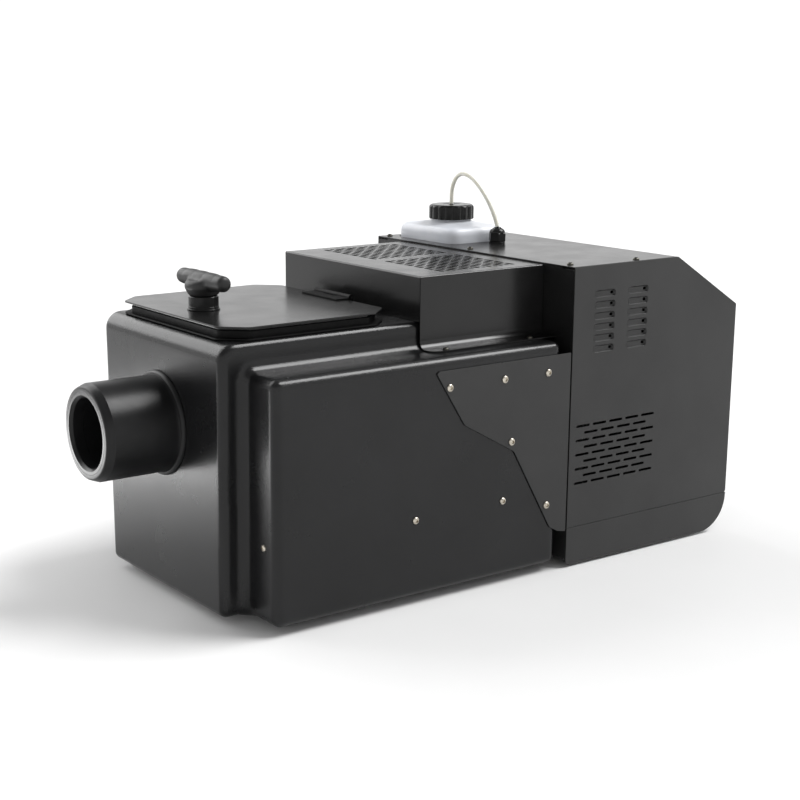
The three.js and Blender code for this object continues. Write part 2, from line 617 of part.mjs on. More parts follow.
/** The bottle stands in an open tray on four posts. */
function buildTray(group) {
  const { left, right, front, back, bottom } = BOTTLE;
  const room = 1;
  const low = bottom - GAP - SHEET;
  const box = (grow, heights) => block([left - grow, right + grow], [front - grow, back + grow], heights);
  const outside = box(room + SHEET, [low, 220]);
  const inside = box(room, [bottom - GAP, 230]);
  const stands = [HOUSING.floor + SHEET + GAP, low + 0.5];
  const post = (x, y) => block([x - 5, x + 5], [y - 5, y + 5], stands);
  const posts = [left + 4, right - 4].flatMap((x) => [post(x, front + 4), post(x, back - 4)]);
  add(group, 'bottle_tray', cut(join(outside, ...posts), inside), steel);
}

// ---- Heater, pump and electronics ------------------------------------------------------------------------

function buildFogSystem() {
  const group = assembly();
  const { x, front, back, halfWidth, bottom, top, jacketGap } = HEATER;
  const left = x - halfWidth;
  const right = x + halfWidth;
  const castBlock = pushed(rectangle(left, right, bottom, top, 12), 'y', [front, back]);
  const channel = rod('y', 5, [front - 5, front + 60], [x, FOG_PIPE.z]);
  add(group, 'heater_block', cut(castBlock, channel), aluminium);
  const shell = (grow, ends) => pushed(
    rectangle(left - grow, right + grow, bottom - grow, top + grow, 6), 'y', [front - ends, back + ends], 2);
  const floor = HOUSING.floor + SHEET + GAP;
  const leg = (u, y) => block([u, u + 10], [y, y + 20], [floor, bottom - jacketGap]);
  const legs = [left, right - 10].flatMap((u) => [leg(u, front), leg(u, back - 20)]);
  const saddles = [front + 10, back - 20].map((y) =>
    block([left + 10, right - 10], [y, y + 10], [bottom - jacketGap - 1, bottom - GAP]));
  const open = shell(jacketGap, 6);
  add(group, 'heater_jacket', join(cut(join(shell(jacketGap + SHEET, 5), ...legs), open), ...saddles), steel);
  add(group, 'thermal_switch', rod('z', 8, [top + GAP, top + 7], [x, (front + back) / 2], 16), brass);
  const pipe = rod('y', FOG_PIPE.radius - 0.2, [FOG_PIPE.front, front - GAP], [x, FOG_PIPE.z], 20);
  add(group, 'fog_pipe', cut(pipe, rod('y', 6, [400, 520], [x, FOG_PIPE.z], 16)), brass);

  const axis = [PUMP.x, PUMP.z];
  const motor = rod('y', PUMP.radius, [590, 640], axis, 24);
  const piston = rod('y', 9, [575, 670], axis, 16);
  const stand = block([PUMP.x - 20, PUMP.x + 20], [600, 630], [floor, PUMP.z]);
  add(group, 'pump', join(motor, piston, stand), gloss);
  const feed = [
    [GLAND.x, GLAND.y, 366], [GLAND.x, GLAND.y, 345], [-46.5, 527, 300], [-46.5, 520, 200], [-46.5, 505, 100],
    [-40, 490, 50], [0, 482, 36], [70, 484, 34], [120, 510, 36], [138, 540, 40],
    [PUMP.x, 560, PUMP.z], [PUMP.x, 574.7, PUMP.z],
  ];
  add(group, 'feed_tube', hose(feed, 2, 48), tubing);

  buildControlBoard(group, floor);
  add(group, 'power_supply', block([-152, -73], [482, 520], [floor, 55]), aluminium);
}

/** The control card on four standoffs, with its relay and two transformer blocks. */
function buildControlBoard(group, floor) {
  const { left, right, front, back, height } = CARD;
  const deck = floor + height;
  const corners = [left + 8, right - 8].flatMap((x) => [[x, front + 8], [x, back - 8]]);
  const standoffs = corners.map((corner) => rod('z', 3, [floor, deck + 0.5], corner, 8));
  const card = block([left, right], [front, back], [deck, deck + 1.6]);
  const component = ({ x, y, wide, deep, tall }) =>
    block([left + x, left + x + wide], [front + y, front + y + deep], [deck + 1, deck + tall]);
  const components = [
    { x: 18, y: 20, wide: 30, deep: 40, tall: 20 },
    { x: 58, y: 20, wide: 30, deep: 20, tall: 16 },
    { x: 24, y: 72, wide: 36, deep: 24, tall: 26 },
  ];
  add(group, 'control_board', join(card, ...standoffs, ...components.map(component)), board);
}

// ---- Rear sockets, switch and control panel --------------------------------------------------------------

const REAR = { inletX: -120, fuseX: -72, switchX: -38, dmx: { in: 50, out: 105 } };

function rearCutouts() {
  const through = [700, 740];
  const hole = (x, halfX, halfZ) =>
    block([x - halfX, x + halfX], through, [SOCKET_Z - halfZ, SOCKET_Z + halfZ]);
  const round = (x, radius) => rod('y', radius, through, [x, SOCKET_Z]);
  return [
    hole(REAR.inletX, 14, 10.5), round(REAR.fuseX, 7), hole(REAR.switchX, 10, 14),
    round(REAR.dmx.in, 12), round(REAR.dmx.out, 12),
  ];
}

/** The mains inlet, the fuse, the switch and the sockets, each drawn about its own centre on the back. */
function buildRearPieces() {
  const group = assembly(0, HOUSING.back, SOCKET_Z);
  const pins = [-7, 0, 7].map((x, i) => block([x - 1, x + 1], [-15, -1], [i % 2 ? 1 : -3, i % 2 ? 5 : 1]));
  const flange = pushed(rectangle(-22, 22, -14, 14, 3), 'y', [GAP, 3], 2);
  const can = block([-13.5, 13.5], [-16, 1], [-10, 10]);
  const mouth = outline([[-11, -7], [11, -7], [11, 3], [6, 7.5], [-6, 7.5], [-11, 3]]);
  const well = pushed(mouth, 'y', [-14.5, 10]);
  add(group, 'mains_inlet', join(cut(join(flange, can), well), ...pins), moulded).position.x = REAR.inletX;
  const fuse = join(rod('y', 6.5, [-24, 1], [0, 0]), rod('y', 8.5, [GAP, BACK_PROUD], [0, 0]));
  const coinSlot = block([-6, 6], [2.5, 6], [-0.8, 0.8]);
  add(group, 'fuse_holder', cut(fuse, coinSlot), moulded).position.x = REAR.fuseX;

  const switchWindow = block([-7.2, 7.2], [-9, 6], [-11.2, 11.2]);
  const bezel = pushed(rectangle(-12, 12, -16, 16, 2), 'y', [GAP, 2.4], 2);
  const frame = join(bezel, block([-9.5, 9.5], [-14, 1], [-13.5, 13.5]));
  add(group, 'switch_frame', cut(frame, switchWindow), moulded).position.x = REAR.switchX;
  const key = outline([[-6, -6.5], [1.2, -9.6], [2.2, -9.6], [1.6, 0], [3.6, 9.4], [2.4, 9.6], [-6, 6.5]]);
  add(group, 'power_rocker', pushed(key, 'x', [-6.8, 6.8]), gloss).position.x = REAR.switchX;

  for (const [name, x] of Object.entries(REAR.dmx)) {
    const flangePlate = pushed(rectangle(-13, 13, -15.5, 15.5, 2), 'y', [GAP, 3], 2);
    const body = join(flangePlate, rod('y', 11.7, [-18, BACK_PROUD], [0, 0]));
    const socket = rod('y', 9.6, [-13, 10], [0, 0]);
    const contacts = (radius, span) => [90, 210, 330].map((angle) => {
      const turn = THREE.MathUtils.degToRad(angle);
      return rod('y', radius, span, [5.2 * Math.cos(turn), 5.2 * Math.sin(turn)], 8);
    });
    const pinned = () => join(cut(body, socket), ...contacts(1.2, [-13.5, -2]));
    const holed = () => cut(body, ...contacts(1.6, [-10, 10]));
    add(group, `dmx_${name}`, name === 'in' ? pinned() : holed(), moulded).position.x = x;
  }
}

/** A display and four keys on the sloping face, built flat and then tilted onto it. */
function buildControlPanel() {
  const y = (HOUSING.slopeY + HOUSING.back) / 2;
  const z = HOUSING.top - (y - HOUSING.slopeY) * Math.tan(slopeAngle);
  const group = assembly(0, y, z);
  group.rotation.x = -slopeAngle;
  const { buttonPitch, buttonRadius, buttonTravel } = CONTROL;
  const keyRow = 13;
  const windowOutline = rectangle(-33, 33, -19, 2);
  const keyHoles = grid(4, buttonPitch, (x) => rod('z', buttonRadius + GAP, [-5, 10], [x, keyRow], 12));
  const plate = pushed(rectangle(-45, 45, -24, 24, 4), 'z', [GAP, 3.3]);
  add(group, 'display_bezel', cut(plate, pushed(windowOutline, 'z', [1.8, 10]), ...keyHoles), moulded);
  add(group, 'display_window', pushed(rectangle(-32.6, 32.6, -18.6, 1.6), 'z', [2.1, 3.1]), screen);
  const base = buttonTravel + 0.6;
  const profile = [[0, base], [buttonRadius, base], [buttonRadius, 4.2], [3.4, 4.8], [0, 4.8]];
  grid(4, buttonPitch, (x) => x).forEach((x, index) => {
    add(group, `menu_button_${index + 1}`, turned(profile, 12), rubber).position.set(x, keyRow, 0);
  });
}

buildTank();
buildLid();
buildHood();
buildSidePlates();
buildHousing();
buildFluid();
buildFogSystem();
buildRearPieces();
buildControlPanel();

export default machine;
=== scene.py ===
import math

import bmesh
import bpy
import numpy as np
from mathutils import Matrix, Vector
from mathutils.geometry import tessellate_polygon


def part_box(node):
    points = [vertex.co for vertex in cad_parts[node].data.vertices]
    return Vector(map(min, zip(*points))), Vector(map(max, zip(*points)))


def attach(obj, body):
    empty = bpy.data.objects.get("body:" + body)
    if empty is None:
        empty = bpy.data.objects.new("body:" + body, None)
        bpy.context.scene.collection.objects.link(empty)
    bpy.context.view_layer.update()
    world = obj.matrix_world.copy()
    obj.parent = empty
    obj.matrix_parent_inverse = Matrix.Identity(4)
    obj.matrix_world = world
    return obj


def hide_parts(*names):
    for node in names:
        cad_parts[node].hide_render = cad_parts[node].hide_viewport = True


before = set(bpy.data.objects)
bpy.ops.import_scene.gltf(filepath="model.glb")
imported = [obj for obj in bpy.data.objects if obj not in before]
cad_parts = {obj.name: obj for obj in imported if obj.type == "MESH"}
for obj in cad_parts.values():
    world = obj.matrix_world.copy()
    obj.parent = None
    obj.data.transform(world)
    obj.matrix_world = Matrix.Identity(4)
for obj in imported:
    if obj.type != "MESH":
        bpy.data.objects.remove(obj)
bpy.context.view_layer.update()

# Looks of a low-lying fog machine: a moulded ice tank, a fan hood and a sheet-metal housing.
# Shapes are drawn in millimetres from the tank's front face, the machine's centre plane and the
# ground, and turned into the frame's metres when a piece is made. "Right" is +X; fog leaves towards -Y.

MM = 0.001
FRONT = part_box("ice_tank")[0].y
TO_FRAME = Matrix.Translation((0, FRONT, 0)) @ Matrix.Scale(MM, 4)
SIDES = {"right": 1, "left": -1}


def span(node):
    """A CAD node's ((x0, x1), (y0, y1), (z0, z1)) in millimetres."""
    low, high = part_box(node)
    shift = Vector((0, FRONT, 0))
    return list(zip((low - shift) / MM, (high - shift) / MM))


def in_frame(x, y, z):
    return TO_FRAME @ Vector((x, y, z))


# ---- Sizes in millimetres, from the frame where it has them

SHEET = 1.5  # gauge of the folded metal
TANK_X, TANK_Y, TANK_Z = span("ice_tank")
NOZZLE_X, NOZZLE_Y, NOZZLE_Z = span("outlet_nozzle")
LID_X, LID_Y, LID_Z = span("ice_lid")
COLLAR_X, COLLAR_Y, COLLAR_Z = span("latch_collar")
HOOD_X, HOOD_Y, HOOD_Z = span("fan_hood")
COVER_X, COVER_Y, COVER_Z = span("side_cover_right")
_, PLATE_Y, PLATE_Z = span("side_plate_right")
BOTTLE_X, BOTTLE_Y, BOTTLE_Z = span("fluid_bottle")
CAP_X, CAP_Y, CAP_Z = span("bottle_cap")
NUT_X, NUT_Y, NUT_Z = span("gland_nut")
_, PAN_Y, PAN_Z = span("base_pan")
WALL = COVER_X[1]
BACK = COVER_Y[1]
SLOPE_TOP = (614, COVER_Z[1])  # (y, z) where the roof starts to slope
SLOPE_END = (BACK, 298.5)
SLOPE = math.atan2(SLOPE_TOP[1] - SLOPE_END[1], SLOPE_END[0] - SLOPE_TOP[0])
SEAM = 50  # height where the covers meet the skirts of the base pan


def middle(pair):
    return (pair[0] + pair[1]) / 2


# ---- Camera and cord


def make_camera():
    azimuth, elevation = math.radians(55.19), math.radians(13.21)
    data = bpy.data.cameras.new("camera")
    data.lens = 69.065
    data.sensor_width = 36
    data.shift_x = 0.0712
    data.shift_y = 0.0177
    camera = bpy.data.objects.new("camera", data)
    camera.location = (1.4925, -1.1053, 0.6068)
    camera.rotation_euler = (math.pi / 2 - elevation, 0, azimuth)
    bpy.context.scene.collection.objects.link(camera)
    bpy.context.scene.camera = camera


TUBE_DIAMETER = 5.5
SUCTION_ROUTE = [
    (-121, 511, 411.6), (-121, 511, 421), (-120.6, 511.1, 429.5), (-117.6, 511.7, 439.6),
    (-112.4, 512.9, 447.8), (-104.4, 514.6, 452), (-94.1, 516.8, 450.2), (-81, 519.7, 442),
    (-68.8, 522.3, 429.4), (-58.5, 524.6, 415.2), (-50.8, 526.2, 401), (-46.8, 527.1, 391.5),
    (-45, 527.5, 386.3),
]


def smooth_route(points, steps=3):
    """Points along a centripetal Catmull-Rom curve through the route."""
    route = [Vector(p) for p in points]
    ends = [route[0] * 2 - route[1], *route, route[-1] * 2 - route[-2]]
    out = []
    for a, b, c, d in zip(ends, ends[1:], ends[2:], ends[3:]):
        ta, tb, tc = (max((q - p).length ** 0.5, 1e-6) for p, q in ((a, b), (b, c), (c, d)))
        into = ((b - a) / ta - (c - a) / (ta + tb) + (c - b) / tb) * tb
        away = ((c - b) / tb - (d - b) / (tb + tc) + (d - c) / tc) * tb
        for i in range(steps):
            t = i / steps
            out.append(
                b * (2 * t**3 - 3 * t**2 + 1) + into * (t**3 - 2 * t**2 + t)
                + c * (3 * t**2 - 2 * t**3) + away * (t**3 - t**2)
            )
    return [*out, route[-1]]


def make_suction_tube(material):
    line = [in_frame(*p) for p in smooth_route(SUCTION_ROUTE)]
    curve = bpy.data.curves.new("suction_hose", "CURVE")
    curve.dimensions = "3D"
    curve.bevel_depth = TUBE_DIAMETER * MM / 2
    curve.bevel_resolution = 6
    curve.use_fill_caps = True
    spline = curve.splines.new("POLY")
    spline.points.add(len(line) - 1)
    for point, place in zip(spline.points, line):
        point.co = (*place, 1)
    spline.use_smooth = True
    hose = bpy.data.objects.new("suction_hose", curve)
    bpy.context.scene.collection.objects.link(hose)
    hose.data.materials.append(material)
    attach(hose, "base")
    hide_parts("suction_tube")


# ---- Materials


class Nodes:
    """A short way to write a material's nodes."""

    def __init__(self, name):
        self.material = bpy.data.materials.new(name)
        self.material.use_nodes = True
        self.tree = self.material.node_tree
        self.shader = self.tree.nodes["Principled BSDF"]
        self.place = self.add("ShaderNodeTexCoord").outputs["Object"]

    def add(self, kind, **settings):
        node = self.tree.nodes.new(kind)
        for key, value in settings.items():
            setattr(node, key, value)
        return node

    def link(self, output, socket):
        self.tree.links.new(output, socket)

    def set(self, **values):
        for key, value in values.items():
            self.shader.inputs[key.replace("_", " ")].default_value = value

    def cover(self, colour, roughness, normal=None):
        """Links the surface's colour, roughness and relief."""
        self.link(colour, self.shader.inputs["Base Color"])
        self.link(roughness, self.shader.inputs["Roughness"])
        if normal:
            self.link(normal, self.shader.inputs["Normal"])

    def stretched(self, scale):
        mapping = self.add("ShaderNodeMapping")
        mapping.inputs["Scale"].default_value = scale
        self.link(self.place, mapping.inputs["Vector"])
        return mapping.outputs["Vector"]

    def noise(self, scale, detail=3.0, roughness=0.5, place=None):
        node = self.add("ShaderNodeTexNoise")
        node.inputs["Scale"].default_value = scale
        node.inputs["Detail"].default_value = detail
        node.inputs["Roughness"].default_value = roughness
        self.link(place or self.place, node.inputs["Vector"])
        return node.outputs["Fac"]

    def ramp(self, value, low, high, start=0.3, end=0.7):
        node = self.add("ShaderNodeValToRGB")
        node.color_ramp.elements[0].position = start
        node.color_ramp.elements[1].position = end
        node.color_ramp.elements[0].color = (*low, 1)
        node.color_ramp.elements[1].color = (*high, 1)
        self.link(value, node.inputs["Fac"])
        return node.outputs["Color"]

    def spread(self, value, low, high):
        node = self.add("ShaderNodeMapRange")
        node.inputs["From Min"].default_value = 0.25
        node.inputs["From Max"].default_value = 0.75
        node.inputs["To Min"].default_value = low
        node.inputs["To Max"].default_value = high
        self.link(value, node.inputs["Value"])
        return node.outputs["Result"]

    def bump(self, value, strength, distance, under=None):
        node = self.add("ShaderNodeBump")
        node.inputs["Strength"].default_value = strength
        node.inputs["Distance"].default_value = distance
        self.link(value, node.inputs["Height"])
        if under:
            self.link(under, node.inputs["Normal"])
        return node.outputs["Normal"]


def surface_finish(name, low, high, rough, mottle=14, layers=(), metallic=0.0, stretch=None, shine=0.5):
    """A finish with mottled colour, uneven gloss and layers of relief, each (scale, detail, strength,
    depth in metres). shine scales how much light it mirrors."""
    n = Nodes(name)
    place = n.stretched(stretch) if stretch else None
    colour = n.ramp(n.noise(mottle, 5, 0.6, place), low, high)
    roughness = n.spread(n.noise(mottle * 2.3, 4, 0.55, place), *rough)
    normal = None
    for scale, detail, strength, depth in layers:
        normal = n.bump(n.noise(scale, detail, 0.5, place), strength, depth, normal)
    n.cover(colour, roughness, normal)
    n.set(Metallic=metallic, Specular_IOR_Level=shine)
    return n.material


def grey(value, tint=(1, 1, 1)):
    return tuple(value * t for t in tint)


COOL = (0.97, 0.98, 1.04)


def make_materials():
    return {
        "moulded": surface_finish(
            "moulded_polyethylene", grey(0.005, COOL), grey(0.009, COOL), (0.22, 0.29), 9,
            [(13, 2, 0.25, 0.0012), (520, 2, 0.5, 0.00026), (1200, 2, 0.25, 0.00006)], shine=0.3,
        ),
        "nozzle": surface_finish(
            "machined_polyethylene", grey(0.005, COOL), grey(0.009, COOL), (0.3, 0.38), 22,
            [(60, 3, 0.2, 0.0004), (700, 2, 0.35, 0.00012)], shine=0.24,
        ),
        "coat": surface_finish(
            "powder_coat", grey(0.005), grey(0.010), (0.2, 0.27), 11,
            [(300, 2, 0.12, 0.00005), (1500, 2, 0.25, 0.00003)], shine=0.34,
        ),
        "side_coat": surface_finish(
            "textured_powder_coat", grey(0.010), grey(0.018), (0.36, 0.46), 8,
            [(400, 2, 0.15, 0.00006), (1700, 2, 0.4, 0.00005)], shine=0.42,
        ),
        "rubber": surface_finish(
            "grip_rubber", grey(0.007), grey(0.014), (0.4, 0.52), 60,
            [(240, 3, 0.2, 0.0002), (1400, 2, 0.25, 0.00006)], shine=0.36,
        ),
        "gloss": surface_finish(
            "black_nylon", grey(0.005), grey(0.009), (0.16, 0.24), 50,
            [(200, 2, 0.1, 0.00005)], shine=0.2,
        ),
        "satin": surface_finish(
            "black_polycarbonate", grey(0.008), grey(0.014), (0.36, 0.48), 70,
            [(700, 3, 0.2, 0.00006)],
        ),
        # Near-black and barely shiny: painted shade. The coated-metal lid seat and hinge leaves take it so
        # they look as dark as the shade they sit in; the black fans take it too, darker than their own black,
        # so the grille's slots read as shade.
        "shade": surface_finish(
            "black_nylon_and_painted_shade", grey(0.002), grey(0.004), (0.5, 0.65), 70,
            [(700, 3, 0.2, 0.00006)], shine=0.12,
        ),
        "screw": surface_finish(
            "nickel_screw", (0.42, 0.38, 0.32), (0.62, 0.58, 0.5), (0.22, 0.4), 300,
            [(900, 3, 0.3, 0.0001)], 1.0,
        ),
        "dark_screw": surface_finish(
            "black_zinc_screw", (0.03, 0.029, 0.026), (0.11, 0.105, 0.09), (0.24, 0.4), 300,
            [(900, 3, 0.3, 0.0001)], 1.0,
        ),
        "steel": surface_finish(
            "rolled_steel", (0.42, 0.42, 0.41), (0.6, 0.6, 0.58), (0.28, 0.42), 20,
            [(500, 3, 0.2, 0.0001)], 1.0, (1, 14, 1),
        ),
        "aluminium": surface_finish(
            "cast_aluminium", (0.5, 0.51, 0.52), (0.68, 0.69, 0.7), (0.35, 0.55), 60,
            [(700, 4, 0.4, 0.0003)], 1.0,
        ),
        "brass": surface_finish(
            "drawn_brass", (0.5, 0.37, 0.15), (0.68, 0.53, 0.25), (0.25, 0.4), 80,
            [(600, 3, 0.2, 0.0001)], 1.0,
        ),
        "paper": surface_finish(
            "hub_label", (0.62, 0.62, 0.6), (0.75, 0.75, 0.73), (0.4, 0.5), 200,
            [(900, 2, 0.1, 0.00005)],
        ),
        "board": make_board_material(),
        "bottle": make_bottle_material(),
        "tube": make_tube_material(),
        "screen": make_screen_material(),
    }


def make_board_material():
    """Solder mask over a pattern of copper tracks."""
    n = Nodes("solder_mask")
    tracks = n.add("ShaderNodeTexBrick")
    tracks.inputs["Scale"].default_value = 120
    tracks.inputs["Mortar Size"].default_value = 0.012
    tracks.inputs["Color1"].default_value = (0.01, 0.09, 0.035, 1)
    tracks.inputs["Color2"].default_value = (0.012, 0.11, 0.045, 1)
    tracks.inputs["Mortar"].default_value = (0.03, 0.2, 0.09, 1)
    n.link(n.place, tracks.inputs["Vector"])
    roughness = n.spread(n.noise(200), 0.3, 0.5)
    n.cover(tracks.outputs["Color"], roughness, n.bump(tracks.outputs["Fac"], 0.4, 0.0001))
    return n.material


def make_bottle_material():
    n = Nodes("milky_polyethylene")
    colour = n.ramp(n.noise(18, 4), (0.50, 0.52, 0.56), (0.60, 0.61, 0.64))
    n.cover(colour, n.spread(n.noise(40, 3), 0.3, 0.42), n.bump(n.noise(30, 2), 0.3, 0.0006))
    n.set(Subsurface_Weight=0.35, Subsurface_Radius=(1.0, 1.0, 1.0), Subsurface_Scale=0.008)
    return n.material


def make_tube_material():
    n = Nodes("clear_tubing")
    colour = n.ramp(n.noise(50, 3), (0.62, 0.61, 0.53), (0.7, 0.69, 0.63))
    n.cover(colour, n.spread(n.noise(90, 3), 0.2, 0.34), n.bump(n.noise(400, 2), 0.15, 0.0001))
    n.set(Subsurface_Weight=0.4, Subsurface_Radius=(1.0, 0.9, 0.7), Subsurface_Scale=0.002)
    return n.material


def make_screen_material():
    """Dark glass over an unlit liquid-crystal panel."""
    n = Nodes("display_glass")
    wave = n.add("ShaderNodeTexWave")
    wave.inputs["Scale"].default_value = 260
    wave.inputs["Distortion"].default_value = 0.3
    n.link(n.place, wave.inputs["Vector"])
    colour = n.ramp(wave.outputs["Fac"], (0.012, 0.02, 0.028), (0.02, 0.034, 0.046))
    n.cover(colour, n.spread(n.noise(60), 0.06, 0.14))
    n.set(Coat_Weight=0.6)
    return n.material


# ---- Mesh helpers


def rounded(corners, step=12.0):
    """The points of a closed outline from (u, v, radius) corners, with each round corner as an arc."""
    points = []
    for index, corner in enumerate(corners):
        u, v, radius = (*corner, 0)[:3]
        here = Vector((u, v))
        back = (Vector(corners[index - 1][:2]) - here).normalized()
        ahead = (Vector(corners[(index + 1) % len(corners)][:2]) - here).normalized()
        if radius <= 0:
            points.append(here)
            continue
        half = back.angle(ahead) / 2
        centre = here + (back + ahead).normalized() * (radius / math.sin(half))
        start = here + back * (radius / math.tan(half)) - centre
        end = here + ahead * (radius / math.tan(half)) - centre
        sweep = (math.pi - 2 * half) * (1 if start.x * end.y - start.y * end.x > 0 else -1)
        count = max(2, math.ceil(abs(math.degrees(sweep)) / step))
        for i in range(count + 1):
            points.append(centre + Matrix.Rotation(sweep * i / count, 2) @ start)
    return [p for i, p in enumerate(points) if (p - points[i - 1]).length > 1e-4]


def rectangle(u0, u1, v0, v1, radius=0.0, step=12.0):
    return rounded([(u0, v0, radius), (u1, v0, radius), (u1, v1, radius), (u0, v1, radius)], step)


def centred(u, v, half_u, half_v, radius):
    return rectangle(u - half_u, u + half_u, v - half_v, v + half_v, radius)


def circle(u, v, radius, count=32):
    turns = [2 * math.pi * i / count for i in range(count)]
    return [Vector((u + radius * math.cos(a), v + radius * math.sin(a))) for a in turns]


def slot(u0, u1, v, half):
    return rectangle(u0, u1, v - half, v + half, half * 0.96, 30)


def counterclockwise(points):
    area = sum(a.x * b.y - b.x * a.y for a, b in zip(points, [*points[1:], points[0]]))
    return points if area > 0 else points[::-1]


def shifted(points, distance):
    """A counterclockwise outline drawn in by a distance."""
    out = []
    for index, here in enumerate(points):
        a = (here - points[index - 1]).normalized()
        b = (points[(index + 1) % len(points)] - here).normalized()
        mitre = Vector((-a.y - b.y, a.x + b.x))
        out.append(here + mitre * (2 * distance / mitre.length_squared))
    return out


def band(bm, below, above):
    for i in range(len(below)):
        j = (i + 1) % len(below)
        bm.faces.new((below[i], below[j], above[j], above[i]))


def fill(bm, outlines, rings):
    """Triangles across flat rings of vertices, laid out by outlines: first the rim, then the holes."""
    verts = [v for ring in rings for v in ring]
    flat = [[Vector((p.x, p.y, 0)) for p in outline] for outline in outlines]
    for triangle in tessellate_polygon(flat):
        bm.faces.new([verts[i] for i in triangle])


def slab(bm, outer, holes, low, high, place, edge=0.35):
    """A flat plate between two heights, with holes, whose rims are rounded over. place makes a point
    of (u, v, height)."""
    levels = [
        (low, edge), (low + 0.3 * edge, 0.3 * edge), (low + edge, 0),
        (high - edge, 0), (high - 0.3 * edge, 0.3 * edge), (high, edge),
    ]
    rims = [(counterclockwise(outer), 1)] + [(counterclockwise(hole), -1) for hole in holes]
    outlines = [[shifted(points, sign * inset) for _, inset in levels] for points, sign in rims]
    stacks = [
        [
            [bm.verts.new(place(p.x, p.y, level)) for p in outline]
            for (level, _), outline in zip(levels, stack)
        ]
        for stack in outlines
    ]
    for stack in stacks:
        for below, above in zip(stack, stack[1:]):
            band(bm, below, above)
    for end in (0, -1):
        fill(bm, [stack[end] for stack in outlines], [stack[end] for stack in stacks])


def flat(bm, outlines, z):
    """A level face inside the first outline and outside the others."""
    rings = [[bm.verts.new((p.x, p.y, z)) for p in outline] for outline in outlines]
    fill(bm, outlines, rings)


def strip(bm, pairs):
    """Quads from each pair of vertices to the next."""
    for (a, b), (c, d) in zip(pairs, pairs[1:]):
        bm.faces.new((a, b, d, c))


def on_top(u, v, height):
    return (u, v, height)


def on_back(u, v, height):
    return (u, height, v)


def on_side(side):
    return lambda u, v, height: (side * height, u, v)


def aim(direction, origin):
    """A matrix that takes +Z to a direction from an origin."""
    turn = Vector(direction).to_track_quat("Z", "Y").to_matrix().to_4x4()
    return Matrix.Translation(origin) @ turn


def turned(bm, profile, matrix, segments=48):
    """A turned body about local Z from a closed profile of (radius, height) or (radius, height, shape)
    points, where shape gives the share of the radius at an angle."""
    rings = []
    for radius, height, *shape in profile:
        if radius < 1e-6:
            rings.append([bm.verts.new(matrix @ Vector((0, 0, height)))])
            continue
        ring = []
        for i in range(segments):
            angle = 2 * math.pi * i / segments
            r = radius * (shape[0](angle) if shape else 1)
            ring.append(bm.verts.new(matrix @ Vector((r * math.cos(angle), r * math.sin(angle), height))))
        rings.append(ring)
    for ring, following in zip(rings, [*rings[1:], rings[0]]):
        if len(ring) == len(following) == 1:
            continue
        if len(ring) == 1 or len(following) == 1:
            (tip,), rim = sorted((ring, following), key=len)
            for i in range(segments):
                bm.faces.new((tip, rim[i], rim[(i + 1) % segments]))
        else:
            band(bm, ring, following)


def hexagon(angle):
    return math.cos(math.pi / 6) / math.cos((angle + math.pi / 6) % (math.pi / 3) - math.pi / 6)


def soft_box(bm, xs, ys, zs, edge=0.6, segments=3):
    """A box with rounded edges."""
    low, high = Vector((xs[0], ys[0], zs[0])), Vector((xs[1], ys[1], zs[1]))
    size = high - low
    matrix = Matrix.Translation((low + high) / 2) @ Matrix.Diagonal((*size, 1))
    made = bmesh.ops.create_cube(bm, size=1, matrix=matrix)
    edges = {e for v in made["verts"] for e in v.link_edges}
    bmesh.ops.bevel(bm, geom=list(edges), offset=edge, segments=segments, affect="EDGES", profile=0.5)


def dress(node, material, bevel=0.4):
    """Gives a CAD node its finish and softens its edges."""
    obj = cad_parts[node]
    if not obj.material_slots:
        obj.data.materials.append(material)
    for socket in obj.material_slots:
        socket.material = material
    soften(obj, bevel)


def soften(obj, width, angle=40):
    if width:
        bevel = obj.modifiers.new("edges", "BEVEL")
        bevel.width = width * MM
        bevel.segments = 2
        bevel.limit_method = "ANGLE"
        bevel.angle_limit = math.radians(angle)
    normals = obj.modifiers.new("normals", "WEIGHTED_NORMAL")
    normals.keep_sharp = True


def piece(name, bm, material, body="base", replaces=(), smooth=38, sheet=None, bevel=0):
    """Makes a piece of a mesh in millimetres. A sheet is an open surface that is thickened inwards."""
    if sheet is None:
        bmesh.ops.recalc_face_normals(bm, faces=bm.faces)
    mesh = bpy.data.meshes.new(name)
    bm.to_mesh(mesh)
    bm.free()
    mesh.transform(TO_FRAME)
    mesh.shade_smooth()
    mesh.set_sharp_from_angle(angle=math.radians(smooth))
    mesh.materials.append(material)
    obj = bpy.data.objects.new(name, mesh)
    bpy.context.scene.collection.objects.link(obj)
    if sheet:
        thick = obj.modifiers.new("gauge", "SOLIDIFY")
        thick.thickness = sheet * MM
        thick.offset = -1
        thick.use_even_offset = True
        split = obj.modifiers.new("sharp_edges", "EDGE_SPLIT")
        split.split_angle = math.radians(smooth)
    soften(obj, bevel)
    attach(obj, body)
    if replaces:
        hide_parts(*replaces)
    return obj


def face_away(bm, centre):
    """Turns every face of an open surface away from a point."""
    bm.normal_update()
    middle_point = Vector(centre)
    for face in bm.faces:
        if (face.calc_center_median() - middle_point).dot(face.normal) < 0:
            face.normal_flip()


